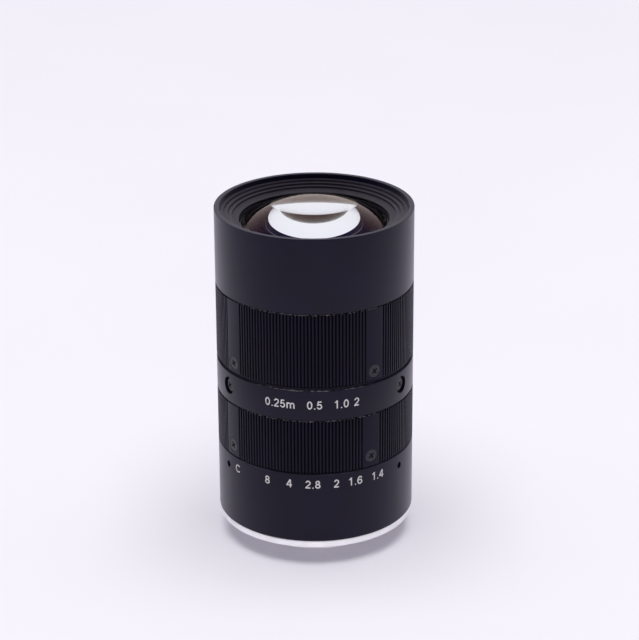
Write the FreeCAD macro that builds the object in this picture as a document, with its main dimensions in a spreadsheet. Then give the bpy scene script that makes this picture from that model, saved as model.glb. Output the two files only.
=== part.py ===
"""Fixed focal length camera lens with a one inch thread mount, in millimetres.

The origin is on the optical axis at the lower end of the mount thread, and +Z
runs up to the front glass. Azimuths are in degrees, measured about +Z from -Y
(the side that carries the aperture scale) towards +X. The model is drawn with
the focus at infinity and the iris a little short of fully open.
"""
import FreeCAD, Part
import math
import os

import Sketcher

VECTOR = FreeCAD.Vector
UP = VECTOR(0, 0, 1)
FULL_TURN = 360.0
RIGHT_ANGLE = 90.0
TINY = 1e-9
PAD_COUNT = 4
SCREW_COUNT = 3
HEXAGON_SIDES = 6
LUG_SHARE = 2.0
SLOT_STEPS = 12

# Driving sizes, in groups, each written once: name, value, what it is
COMMON_SIZES = (
    ("barrel_radius", 19.5, "outside of all the flush sections"),
    ("seam_gap", 0.1, "dark seam between a turning ring and its neighbour"),
    ("edge_break", 0.15, "small bevel on turned edges"),
    ("fit_gap", 0.02, "radial gap of a fixed fit"),
    ("running_gap", 0.06, "radial gap of a turning or sliding fit"),
    ("seat_gap", 0.05, "gap left where a part seats on glass"),
)
MOUNT_SIZES = (
    ("thread_radius", 12.7, "outside of the mount thread, one inch across"),
    ("thread_length", 4.0, "from the end face to the flange seat"),
    ("thread_relief_depth", 0.5, "undercut beside the flange seat"),
    ("thread_relief_height", 0.8, "height of that undercut"),
    ("thread_lead_in", 0.4, "bevel at the end of the thread"),
    ("thread_wall", 1.1, "from the bore of the mount to the outside of its thread"),
    ("seat_recess_width", 0.4, "free ring from the thread to the flange seat"),
    ("seat_recess_depth", 0.15, "depth of that free ring"),
    ("flange_setback", 0.2, "bright flange behind the outside of the barrel"),
    ("flange_height", 1.4, "visible height of the bright flange"),
    ("flange_bevel", 0.2, "polished bevel on the flange's upper edge"),
    ("spigot_height", 3.0, "part of the mount inside the barrel"),
)
BARREL_SIZES = (
    ("scale_height", 14.6, "fixed ring with the aperture numbers"),
    ("iris_ring_height", 11.2, "knurled iris ring"),
    ("middle_height", 6.2, "fixed ring between the two knurled ones"),
    ("lip_height", 0.45, "step on top of the middle ring"),
    ("lip_setback", 0.55, "that step behind the outside of the barrel"),
    ("focus_gap", 0.25, "gap under the focus ring at infinity"),
    ("focus_ring_height", 15.1, "knurled focus ring"),
    ("hood_height", 15.1, "smooth front barrel"),
    ("ring_wall", 1.6, "wall of the outer rings"),
    ("main_wall", 1.0, "wall of the fixed inner barrel"),
    ("main_clearance", 1.2, "free height over the fixed barrel, under the focus ring's web"),
    ("focus_travel", 2.75, "how far the optical block moves out at the closest focus"),
)
GRIP_SIZES = (
    ("rib_pitch_angle", 1.98, "angle from rib to rib of the straight knurl"),
    ("groove_depth", 0.25, "depth of a knurl groove"),
    ("groove_width", 0.4, "width of a knurl groove at the rim"),
    ("pad_angle", 10.6, "smallest smooth pad between two knurled stretches"),
    ("focus_pad_azimuth", 36.0, "middle of one smooth pad at infinity"),
    ("iris_pad_azimuth", 33.9, "middle of one smooth pad, which is the iris mark"),
    ("focus_screw_rise", 1.95, "lock screws above the focus ring's lower edge"),
    ("iris_screw_rise", 2.3, "lock screws above the iris ring's lower edge"),
    ("lock_screw_radius", 1.35, "lock screw"),
    ("lock_screw_sink", 0.03, "lock screw head below the pad"),
)
FASTENER_SIZES = (
    ("cap_azimuth", 59.8, "one of three screws in the middle ring"),
    ("cap_drop", 2.85, "those screws below the middle ring's upper edge"),
    ("cap_radius", 1.36, "screw head"),
    ("cap_height", 0.55, "screw head"),
    ("cap_recess_radius", 1.74, "counterbore"),
    ("cap_recess_depth", 0.85, "counterbore"),
    ("cap_shank_radius", 0.75, "screw shank"),
    ("cross_width", 0.3, "arm of a cross recess"),
    ("cross_span", 1.5, "length of a cross recess"),
    ("cross_depth", 0.35, "depth of a cross recess"),
    ("grub_azimuth", 58.0, "one of three grub screws in the scale ring"),
    ("grub_drop", 2.5, "grub screws below the scale ring's upper edge"),
    ("grub_radius", 0.65, "grub screw"),
    ("grub_sink", 0.35, "grub screw below the surface"),
    ("grub_socket_radius", 0.36, "hexagon socket, over its corners"),
    ("grub_socket_depth", 0.6, "hexagon socket"),
)
BLOCK_SIZES = (
    ("tube_wall", 1.2, "wall of the sliding lens tube"),
    ("tube_bottom", 13.0, "lower end of the lens tube"),
    ("web_height", 1.8, "inner web of the focus ring"),
    ("keeper_height", 0.6, "ring that keeps the focus ring on the tube"),
    ("keeper_width", 0.85, "radial width of that ring"),
    ("key_radius", 1.0, "guide screw that stops the block from turning"),
    ("key_reach", 0.8, "how far the guide screw enters the tube wall"),
    ("key_azimuth", 120.0, "guide screw"),
    ("key_drop", 3.1, "guide screw below the top of the middle ring"),
)
FRONT_SIZES = (
    ("rim_width", 1.0, "flat rim of the front barrel"),
    ("recess_depth", 0.92, "smooth wall inside the rim"),
    ("bezel_seat_depth", 2.7, "shoulder that carries the bezel, below the rim"),
    ("bezel_overlap", 0.25, "how far the bezel reaches over the front glass"),
    ("ledge_drop", 2.59, "inner edge of the ledge below the rim"),
    ("ledge_lip", 0.22, "height of the ledge's lip over the groove under it"),
    ("ledge_groove_height", 0.36, "that groove"),
    ("ledge_groove_depth", 0.3, "that groove"),
    ("step_count", 3, "steps between the ledge and the recess wall"),
    ("first_step_width", 0.85, "radial width of the step beside the recess wall"),
    ("step_width", 0.85, "radial width of the other steps"),
    ("step_rise", 0.4, "height of a step"),
    ("dome_proud", 1.05, "top of the glass above the rim"),
)
IRIS_SIZES = (
    ("iris_base_bottom", 20.9, "underside of the iris base"),
    ("iris_base_height", 1.2, "iris base"),
    ("stop_share", 0.4942, "fully open stop, as a share of the tube's bore"),
    ("blade_count", 8, "iris blades"),
    ("blade_outer_share", 0.7702, "outside of a blade's band, as a share of that bore"),
    ("blade_span", 124.0, "angle that a blade's band covers"),
    ("blade_thickness", 0.12, "blade"),
    ("blade_pitch", 0.18, "from one blade's layer to the next"),
    ("pivot_share", 0.8472, "circle of the blade pivots, as a share of that bore"),
    ("pivot_pin_radius", 0.3, "blade pivot pin"),
    ("pivot_pin_length", 0.8, "blade pivot pin inside the base"),
    ("lever_share", 0.2439, "from a blade's pivot to its drive pin, as a share of that bore"),
    ("drive_pin_radius", 0.25, "blade drive pin"),
    ("drive_pin_length", 0.75, "blade drive pin inside the cam"),
    ("slot_depth", 0.95, "cam slots"),
    ("blade_turn", 34.4, "turn of a blade from open to closed"),
    ("open_angle", 4.9, "iris ring turn from the drawn setting to fully open"),
    ("closed_angle", 85.5, "iris ring turn from the drawn setting to closed"),
    ("cam_height", 2.4, "iris cam"),
    ("cam_bore_margin", 0.6, "opening of the iris cam outside the stop"),
    ("layer_gap", 0.06, "gap under the first blade and over the last"),
    ("retainer_height", 0.9, "ring over the iris cam"),
    ("link_radius", 0.6, "pin that ties the cam to the iris ring"),
    ("link_azimuth", 180.0, "that pin at the drawn setting"),
    ("link_grip", 1.7, "length of that pin inside the cam"),
    ("link_groove_depth", 0.9, "groove for that pin in the iris ring's bore"),
    ("window_margin", 0.25, "free space around that pin in the windows"),
)
CELL_SIZES = (
    ("cell_flange_height", 3.0, "upper flange of the front cell"),
    ("cell_wall", 0.55, "wall of a cell around its glass"),
    ("seat_lip", 1.3, "width of the lip that holds a glass"),
    ("lip_thickness", 0.8, "thickness of that lip"),
    ("rear_clearance", 0.5, "from the rear cell to the bore of the mount"),
    ("rear_wall", 1.35, "wall of the rear cell around its glass"),
    ("rear_cell_bottom", 6.9, "lower end of the rear cell"),
    ("rear_flange_height", 1.9, "flange of the rear cell"),
    ("lock_ring_height", 1.0, "threaded ring under that flange"),
    ("lock_ring_share", 0.36, "width of that ring, as a share of the flange's width"),
    ("rear_seat_lip", 0.9, "width of the lip that holds the last glass"),
    ("glass_gap", 0.05, "radial gap around a glass"),
    ("spacer_width", 0.9, "radial width of the rings between the glasses"),
    ("retainer_width", 2.4, "radial width of the ring over the iris cam"),
)
# Glass: free height above it, centre thickness, rise of the upper and of the lower
# surface from its rim to the axis (positive where the surface bulges upwards), and
# how much its edge is stepped in from the one before
FRONT_GLASS = {
    "first_element": (0.0, 6.4, 5.185, -0.556, 0.06),
    "second_element": (0.6, 2.0, 3.081, 7.152, 1.2),
    "third_element": (10.0, 1.6, -1.659, 2.633, 1.1),
    "fourth_element": (1.6, 6.0, 2.376, -1.846, 0.9),
    "fifth_element": (2.4, 3.6, 3.167, 0.773, 0.9),
}
REAR_GLASS = {
    "sixth_element": (3.5, 1.4, -2.876, 1.321, 0.0),
    "seventh_element": (0.02, 4.6, 1.734, -1.877, 0.0),
    "eighth_element": (0.4, 3.2, 1.194, -1.194, 0.0),
}
GLASS_FIELDS = ("air", "thickness", "upper_rise", "lower_rise", "edge_step")
CLEAR_MARGIN = ("clear_margin", 1.2, "flat ring around a hollow glass surface")


def fill_sheet(document):
    """Write every driving size into the spreadsheet, one aliased cell each."""
    sheet = document.addObject("Spreadsheet::Sheet", "sizes")
    groups = (COMMON_SIZES, MOUNT_SIZES, BARREL_SIZES, GRIP_SIZES, FASTENER_SIZES,
              BLOCK_SIZES, FRONT_SIZES, IRIS_SIZES, CELL_SIZES, (CLEAR_MARGIN,))
    entries = [entry for group in groups for entry in group]
    for glasses in (FRONT_GLASS, REAR_GLASS):
        for name, values in glasses.items():
            for field, value in zip(GLASS_FIELDS, values):
                entries.append((f"{name}_{field}", value, f"{field} of the {name}"))
    for row, (alias, value, note) in enumerate(entries, start=1):
        sheet.set(f"A{row}", alias)
        sheet.set(f"B{row}", str(value))
        sheet.set(f"C{row}", note)
        sheet.setAlias(f"B{row}", alias)
    document.recompute()
    return sheet


doc = FreeCAD.newDocument("camera_lens")
sheet = fill_sheet(doc)
nodes = {}


def size(alias):
    """Name a cell of the sheet inside an expression."""
    return f"sizes.{alias}"


def value(expression):
    """Work an expression out to a plain number."""
    return float(sheet.evalExpression(str(expression)))


def plus(*terms):
    """Add terms, each an expression or a cell's alias."""
    return "(" + " + ".join(term_of(term) for term in terms) + ")"


def minus(first, *rest):
    """Take the rest from the first term."""
    return "(" + " - ".join(term_of(term) for term in (first, *rest)) + ")"


def term_of(term):
    """Turn an alias into its cell, and leave an expression as it is."""
    text = str(term)
    return size(text) if text.isidentifier() else text


# Levels along the axis, from the mount upwards
seat_level = size("thread_length")
scale_bottom = plus(seat_level, "flange_height")
scale_top = plus(scale_bottom, "scale_height")
iris_bottom = plus(scale_top, "seam_gap")
iris_top = plus(iris_bottom, "iris_ring_height")
middle_bottom = plus(iris_top, "seam_gap")
middle_top = plus(middle_bottom, "middle_height")
lip_top = plus(middle_top, "lip_height")
focus_bottom = plus(lip_top, "focus_gap")
focus_top = plus(focus_bottom, "focus_ring_height")
hood_bottom = plus(focus_top, "seam_gap")
rim_level = plus(hood_bottom, "hood_height")

# Radii of the nested sleeves, from the outside inwards
ring_bore = minus("barrel_radius", "ring_wall")
main_outer = minus(ring_bore, "running_gap")
main_inner = minus(main_outer, "main_wall")
tube_outer = minus(main_inner, "running_gap")
tube_inner = minus(tube_outer, "tube_wall")
sleeve_bore = plus(main_outer, "fit_gap")
hood_bore = plus(tube_outer, "fit_gap")
cell_outer = minus(tube_inner, "fit_gap")
moving_outer = minus(tube_inner, "running_gap")
drill_length = f"({size('ring_wall')} * 2)"

# Radii of the mount and of the rear cell inside it
mount_bore = minus("thread_radius", "thread_wall")
rear_cell_outer = minus(mount_bore, "rear_clearance")
rear_room = minus(rear_cell_outer, "rear_wall", "glass_gap")
front_room = minus(cell_outer, "cell_wall", "glass_gap")


def add_body(name):
    """Start a body whose label is the node's name."""
    body = doc.addObject("PartDesign::Body", name)
    body.Label = name
    return body


def origin_feature(body, role):
    """Find one of the body's own origin planes or axes."""
    return next(item for item in body.Origin.OriginFeatures if item.Role == role)


def pin_point(sketch, geometry, radius, height):
    """Tie the start point of a line to a radius and a height of the sheet."""
    for kind, expression in (("DistanceX", radius), ("DistanceY", height)):
        number = value(expression)
        if abs(number) < TINY:
            axis = -2 if kind == "DistanceX" else -1
            sketch.addConstraint(Sketcher.Constraint("PointOnObject", geometry, 1, axis))
            continue
        index = sketch.addConstraint(
            Sketcher.Constraint(kind, -1, 1, geometry, 1, number))
        sketch.setExpression(f"Constraints[{index}]", str(expression))


def outline_sketch(body, name, role, points):
    """Draw a closed outline of straight lines, each corner tied to the sheet."""
    sketch = body.newObject("Sketcher::SketchObject", name)
    sketch.AttachmentSupport = (origin_feature(body, role), "")
    sketch.MapMode = "FlatFace"
    corners = [VECTOR(value(x), value(y), 0) for x, y in points]
    count = len(corners)
    for index in range(count):
        line = Part.LineSegment(corners[index], corners[(index + 1) % count])
        sketch.addGeometry(line, False)
    for index in range(count):
        following = (index + 1) % count
        sketch.addConstraint(Sketcher.Constraint("Coincident", index, 2, following, 1))
    for index, (x, y) in enumerate(points):
        pin_point(sketch, index, x, y)
    return sketch


def turned(name, profile):
    """Turn a profile of (radius, height) corners about the optical axis."""
    body = add_body(name)
    sketch = outline_sketch(body, f"{name}_section", "XZ_Plane", profile)
    turn = body.newObject("PartDesign::Revolution", f"{name}_turn")
    turn.Profile = sketch
    turn.ReferenceAxis = (sketch, ["V_Axis"])
    turn.Angle = FULL_TURN
    body.Tip = turn
    return body


def ring_profile(inner, outer, bottom, top):
    """Section of a plain ring."""
    return [(inner, bottom), (outer, bottom), (outer, top), (inner, top)]


def bevelled_profile(inner, outer, bottom, top):
    """Section of a ring with both outer edges broken."""
    edge = "edge_break"
    return [(inner, bottom), (minus(outer, edge), bottom), (outer, plus(bottom, edge)),
            (outer, minus(top, edge)), (minus(outer, edge), top), (inner, top)]


def direction(azimuth):
    """Unit vector that points outwards at an azimuth in degrees."""
    angle = math.radians(azimuth)
    return VECTOR(math.sin(angle), -math.cos(angle), 0)


def radial_placement(azimuth, radius, height):
    """Put an object's own z axis along a radius, starting at a point on it."""
    place = direction(azimuth) * radius + UP * height
    lay_down = FreeCAD.Rotation(VECTOR(1, 0, 0), RIGHT_ANGLE)
    return FreeCAD.Placement(place, FreeCAD.Rotation(UP, azimuth) * lay_down)


def radial_pin(name, radius, length, azimuth, start, height):
    """Cylinder along a radius of the lens, its size tied to the sheet."""
    pin = doc.addObject("Part::Cylinder", name)
    pin.setExpression("Radius", term_of(radius))
    pin.setExpression("Height", term_of(length))
    pin.Placement = radial_placement(azimuth, value(term_of(start)), value(height))
    return pin


def gather(name, pieces):
    """Hold several solids together as one object."""
    group = doc.addObject("Part::Compound", name)
    group.Links = pieces
    return group


def fused(name, pieces):
    """Join several solids into one tool."""
    union = doc.addObject("Part::MultiFuse", name)
    union.Shapes = pieces
    return union


def cut(name, base, tool):
    """Take a tool away from a base."""
    result = doc.addObject("Part::Cut", name)
    result.Base = base
    result.Tool = tool
    return result


def shaped(name, shape):
    """Wrap a shape made by formula, where no sketch or primitive fits."""
    feature = doc.addObject("Part::Feature", name)
    feature.Shape = shape
    return feature


def keep(name, piece):
    """Register a finished piece under its node's name."""
    piece.Label = name
    nodes[name] = piece
    return piece


def spread(first, count):
    """Azimuths of a number of evenly spaced features."""
    return [first + FULL_TURN * index / count for index in range(count)]


def sag_level(vertex, radius, at):
    """Height of a sphere that bulges upwards, at a distance from the axis."""
    return f"({vertex} - {radius} + sqrt({radius} * {radius} - {at} * {at}))"


def make_mount():
    """Bright mount: thread, undercut, flange and the spigot in the barrel."""
    relief_radius = minus("thread_radius", "thread_relief_depth")
    relief_level = minus(seat_level, "thread_relief_height")
    recess_radius = plus("thread_radius", "seat_recess_width")
    recess_level = plus(seat_level, "seat_recess_depth")
    spigot_radius = minus(main_inner, "fit_gap")
    flange_radius = minus("barrel_radius", "flange_setback")
    bevel_radius = minus(flange_radius, "flange_bevel")
    bevel_level = minus(scale_bottom, "flange_bevel")
    spigot_top = plus(scale_bottom, "spigot_height")
    profile = [
        (mount_bore, "0"),
        (minus("thread_radius", "thread_lead_in"), "0"),
        (size("thread_radius"), size("thread_lead_in")),
        (size("thread_radius"), relief_level),
        (relief_radius, relief_level),
        (relief_radius, recess_level),
        (recess_radius, recess_level),
        (recess_radius, seat_level),
        (flange_radius, seat_level),
        (flange_radius, bevel_level),
        (bevel_radius, scale_bottom),
        (spigot_radius, scale_bottom),
        (spigot_radius, spigot_top),
        (mount_bore, spigot_top),
    ]
    keep("mount_flange", turned("mount_flange", profile))


def make_scale_ring():
    """Fixed ring with the aperture numbers, held by three grub screws."""
    ring = turned("scale_ring_blank", bevelled_profile(
        sleeve_bore, size("barrel_radius"), scale_bottom, scale_top))
    height = minus(scale_top, "grub_drop")
    azimuths = spread(value(size("grub_azimuth")), SCREW_COUNT)
    holes = [radial_pin(f"grub_hole_{index}", "grub_radius", drill_length, azimuth,
                        main_inner, height) for index, azimuth in enumerate(azimuths)]
    keep("scale_ring", cut("scale_ring", ring, fused("grub_holes", holes)))
    screws = [grub_screw(index, azimuth, height) for index, azimuth in enumerate(azimuths)]
    keep("scale_ring_grub_screws", gather("scale_ring_grub_screws", screws))


def grub_screw(index, azimuth, height):
    """Headless screw with a hexagon socket, flush under the scale ring."""
    start = plus(main_outer, "fit_gap")
    length = minus("barrel_radius", start, "grub_sink")
    body = radial_pin(f"grub_body_{index}", minus("grub_radius", "fit_gap"),
                      length, azimuth, start, height)
    socket = doc.addObject("Part::Prism", f"grub_socket_{index}")
    socket.Polygon = HEXAGON_SIDES
    socket.setExpression("Circumradius", size("grub_socket_radius"))
    socket.setExpression("Height", size("grub_socket_depth"))
    floor = minus("barrel_radius", "grub_sink", "grub_socket_depth")
    socket.Placement = radial_placement(azimuth, value(floor), value(height))
    return cut(f"grub_screw_{index}", body, socket)


def cross_recess(name, azimuth, floor, height):
    """Two crossed slots in a screw head, as one tool."""
    arms = []
    for index, (length, width) in enumerate((("cross_span", "cross_width"),
                                             ("cross_width", "cross_span"))):
        arm = doc.addObject("Part::Box", f"{name}_arm_{index}")
        arm.setExpression("Length", size(length))
        arm.setExpression("Width", size(width))
        arm.setExpression("Height", plus("cross_depth", "seam_gap"))
        centred = VECTOR(-value(size(length)) / 2, -value(size(width)) / 2, 0)
        arm.Placement = radial_placement(azimuth, value(floor), value(height)) * (
            FreeCAD.Placement(centred, FreeCAD.Rotation()))
        arms.append(arm)
    return fused(f"{name}_cross", arms)


def lock_screw(name, azimuth, height):
    """Flush screw with a cross recess that locks a turning ring."""
    length = minus("barrel_radius", ring_bore, "lock_screw_sink")
    body = radial_pin(f"{name}_body", "lock_screw_radius", length, azimuth,
                      ring_bore, height)
    floor = minus("barrel_radius", "lock_screw_sink", "cross_depth")
    return cut(name, body, cross_recess(name, azimuth, floor, height))


def knurled_body(name, profile, pad_azimuth):
    """Turn a ring and cut its straight knurl, leaving four smooth pads."""
    ring = turned(name, profile)
    overrun = size("edge_break")
    half_width = f"({size('groove_width')} / 2)"
    depth = size("groove_depth")
    outer_half = f"({half_width} * ({depth} + {overrun}) / {depth})"
    rim = plus("barrel_radius", overrun)
    corners = [(outer_half, f"(-{rim})"),
               (f"(-{outer_half})", f"(-{rim})"),
               ("0", f"(-{minus('barrel_radius', depth)})")]
    section = outline_sketch(ring, f"{name}_groove_section", "XY_Plane", corners)
    quadrant = FULL_TURN / PAD_COUNT
    pitch = value(size("rib_pitch_angle"))
    grooves = int((quadrant - value(size("pad_angle"))) / pitch)
    stretch = pitch * (grooves - 1)
    start = value(pad_azimuth) + (quadrant - stretch) / 2
    section.AttachmentOffset = FreeCAD.Placement(VECTOR(), FreeCAD.Rotation(UP, start))
    groove = ring.newObject("PartDesign::Pocket", f"{name}_groove")
    groove.Profile = section
    groove.Type = "ThroughAll"
    groove.Reversed = True
    knurl = ring.newObject("PartDesign::MultiTransform", f"{name}_knurl")
    knurl.Originals = [groove]
    axis = (origin_feature(ring, "Z_Axis"), [""])
    steps = []
    for label, angle, copies in (("ribs", stretch, grooves), ("quarters", FULL_TURN, PAD_COUNT)):
        pattern = ring.newObject("PartDesign::PolarPattern", f"{name}_{label}")
        pattern.Axis = axis
        pattern.Angle = angle
        pattern.Occurrences = copies
        steps.append(pattern)
    knurl.Transformations = steps
    ring.Tip = knurl
    return ring


def lock_screws(name, blank, pad_azimuth, height, other_cuts):
    """Fit a lock screw into each pad, and finish the ring round them."""
    azimuths = spread(value(pad_azimuth), PAD_COUNT)
    holes = [radial_pin(f"{name}_hole_{index}", plus("lock_screw_radius", "fit_gap"),
                        drill_length, azimuth, minus(ring_bore, "ring_wall"), height)
             for index, azimuth in enumerate(azimuths)]
    tools = fused(f"{name}_holes", holes + other_cuts)
    keep(name, cut(f"{name}_finished", blank, tools))
    screws = [lock_screw(f"{name}_lock_screw_{index}", azimuth, height)
              for index, azimuth in enumerate(azimuths)]
    keep(f"{name}_lock_screws", gather(f"{name}_lock_screw_set", screws))


def make_focus_ring():
    """Knurled focus ring, with the inner web that holds it on the lens tube."""
    web_bottom = minus(focus_top, "web_height")
    web_bore = plus(tube_outer, "running_gap")
    profile = [(ring_bore, focus_bottom), (size("barrel_radius"), focus_bottom),
               (size("barrel_radius"), focus_top), (web_bore, focus_top),
               (web_bore, web_bottom), (ring_bore, web_bottom)]
    pads = size("focus_pad_azimuth")
    blank = knurled_body("focus_ring_blank", profile, pads)
    height = plus(focus_bottom, "focus_screw_rise")
    lock_screws("focus_ring", blank, pads, height, [])


def make_keeper():
    """Ring on the lens tube, under the focus ring's web."""
    top = minus(focus_top, "web_height", "running_gap")
    inner = plus(tube_outer, "fit_gap")
    keep("focus_ring_keeper", turned("focus_ring_keeper", ring_profile(
        inner, plus(inner, "keeper_width"), minus(top, "keeper_height"), top)))


# Levels and places of the iris
iris_base_top = plus("iris_base_bottom", "iris_base_height")
first_blade_level = plus(iris_base_top, "layer_gap")
blade_stack = f"({size('blade_pitch')} * ({size('blade_count')} - 1))"
cam_bottom = plus(first_blade_level, blade_stack, "blade_thickness", "layer_gap")
cam_top = plus(cam_bottom, "cam_height")
link_level = minus(cam_top, "link_radius", "edge_break")
stop_radius, band_radius, pivot_radius, lever_length = (
    f"({tube_inner} * {size(share)})"
    for share in ("stop_share", "blade_outer_share", "pivot_share", "lever_share"))


def axial_slot(name, azimuth, start, depth, half_width, bottom, top):
    """Box along the axis that cuts a guide slot or groove."""
    slot = doc.addObject("Part::Box", name)
    slot.setExpression("Length", f"({half_width} * 2)")
    slot.setExpression("Width", minus(top, bottom))
    slot.setExpression("Height", term_of(depth))
    corner = VECTOR(-value(half_width), 0, 0)
    slot.Placement = radial_placement(azimuth, value(start), value(bottom)) * (
        FreeCAD.Placement(corner, FreeCAD.Rotation()))
    return slot


def make_iris_ring():
    """Knurled iris ring, with the groove that drives the iris pin."""
    pads = size("iris_pad_azimuth")
    profile = ring_profile(ring_bore, size("barrel_radius"), iris_bottom, iris_top)
    blank = knurled_body("iris_ring_blank", profile, pads)
    reach = plus("link_radius", "window_margin")
    depth = plus("link_groove_depth", "running_gap")
    groove = axial_slot("iris_ring_groove", value(size("link_azimuth")),
                        minus(ring_bore, "running_gap"), depth,
                        plus("link_radius", "running_gap"), minus(link_level, reach),
                        plus(link_level, "focus_travel", reach))
    height = plus(iris_bottom, "iris_screw_rise")
    lock_screws("iris_ring", blank, pads, height, [groove])


def sector_window(name, bottom, top):
    """Window that the iris pin sweeps as the ring turns."""
    reach = value(plus("link_radius", "window_margin"))
    margin = math.degrees(reach / value(tube_inner))
    first = value(minus("link_azimuth", "closed_angle")) - margin
    last = value(plus("link_azimuth", "open_angle")) + margin
    window = doc.addObject("Part::Cylinder", name)
    window.setExpression("Radius", size("barrel_radius"))
    window.setExpression("Height", minus(top, bottom))
    window.Angle = last - first
    window.Placement = FreeCAD.Placement(
        UP * value(bottom), FreeCAD.Rotation(UP, first - RIGHT_ANGLE))
    return window


def make_main_barrel():
    """Fixed inner barrel: iris window, screw holes and the guide screw's hole."""
    top = minus(focus_top, "web_height", "main_clearance")
    blank = turned("main_barrel_blank", ring_profile(
        main_inner, main_outer, scale_bottom, top))
    reach = plus("link_radius", "window_margin")
    window = sector_window("main_barrel_window", minus(link_level, reach),
                           plus(link_level, "focus_travel", reach))
    cap_level = minus(middle_top, "cap_drop")
    holes = [radial_pin(f"main_barrel_hole_{index}", plus("cap_shank_radius", "fit_gap"),
                        drill_length, azimuth, minus(main_inner, "edge_break"), cap_level)
             for index, azimuth in enumerate(
                 spread(value(size("cap_azimuth")), SCREW_COUNT))]
    key_hole = radial_pin("main_barrel_key_hole", plus("key_radius", "fit_gap"),
                          drill_length, value(size("key_azimuth")),
                          minus(main_inner, "edge_break"), minus(middle_top, "key_drop"))
    tools = fused("main_barrel_cuts", [window, key_hole] + holes)
    keep("main_barrel", cut("main_barrel", blank, tools))


def make_guide_screw():
    """Guide screw in the fixed barrel, with its end in the tube's slot."""
    start = minus(tube_outer, "key_reach")
    keep("guide_screw", radial_pin(
        "guide_screw", "key_radius", minus(main_outer, start, "seam_gap"),
        value(size("key_azimuth")), start, minus(middle_top, "key_drop")))


def make_middle_ring():
    """Fixed ring between the two knurled ones, with three screws."""
    edge = "edge_break"
    rim = size("barrel_radius")
    lip_radius = minus(rim, "lip_setback")
    profile = [(sleeve_bore, middle_bottom), (minus(rim, edge), middle_bottom),
               (rim, plus(middle_bottom, edge)), (rim, minus(middle_top, edge)),
               (minus(rim, edge), middle_top), (lip_radius, middle_top),
               (lip_radius, lip_top), (sleeve_bore, lip_top)]
    blank = turned("middle_ring_blank", profile)
    level = minus(middle_top, "cap_drop")
    azimuths = spread(value(size("cap_azimuth")), SCREW_COUNT)
    tools = []
    screws = []
    for index, azimuth in enumerate(azimuths):
        floor = minus(rim, "cap_recess_depth")
        tools.append(radial_pin(f"cap_hole_{index}", plus("cap_shank_radius", "fit_gap"),
                                drill_length, azimuth, main_inner, level))
        tools.append(radial_pin(f"cap_recess_{index}", "cap_recess_radius",
                                drill_length, azimuth, floor, level))
        screws.append(cap_screw(index, azimuth, floor, level))
    keep("middle_ring", cut("middle_ring", blank, fused("middle_ring_cuts", tools)))
    keep("middle_ring_screws", gather("middle_ring_screws", screws))


def cap_screw(index, azimuth, floor, level):
    """Cross recess screw whose head stands in its counterbore."""
    head = radial_pin(f"cap_head_{index}", "cap_radius", "cap_height", azimuth,
                      floor, level)
    start = plus(main_inner, "running_gap")
    shank = radial_pin(f"cap_shank_{index}", "cap_shank_radius", minus(floor, start),
                       azimuth, start, level)
    recess_floor = minus(plus(floor, "cap_height"), "cross_depth")
    recess = cross_recess(f"cap_{index}", azimuth, recess_floor, level)
    return cut(f"cap_screw_{index}", fused(f"cap_solid_{index}", [head, shank]), recess)


bezel_seat = minus(rim_level, "bezel_seat_depth")


def make_lens_tube():
    """Sliding tube that carries all the glass, the iris and the hood."""
    blank = turned("lens_tube_blank", ring_profile(
        tube_inner, tube_outer, size("tube_bottom"), bezel_seat))
    reach = plus("link_radius", "window_margin")
    window = sector_window("lens_tube_window", minus(link_level, reach),
                           plus(link_level, reach))
    key_level = minus(middle_top, "key_drop")
    key_reach = plus("key_radius", "window_margin")
    slot_start = minus(tube_outer, "key_reach", "running_gap")
    slot = axial_slot("lens_tube_slot", value(size("key_azimuth")), slot_start,
                      "ring_wall", plus("key_radius", "running_gap"),
                      minus(key_level, "focus_travel", key_reach),
                      plus(key_level, key_reach))
    keep("lens_tube", cut("lens_tube", blank, fused("lens_tube_cuts", [window, slot])))


def make_hood():
    """Smooth front barrel, with the flat rim and the recess inside it."""
    rim = size("barrel_radius")
    edge = "edge_break"
    recess = minus(rim, "rim_width")
    profile = [(hood_bore, hood_bottom), (minus(rim, edge), hood_bottom),
               (rim, plus(hood_bottom, edge)), (rim, minus(rim_level, edge)),
               (minus(rim, edge), rim_level), (recess, rim_level),
               (recess, bezel_seat), (hood_bore, bezel_seat)]
    keep("front_barrel", turned("front_barrel", profile))


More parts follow.
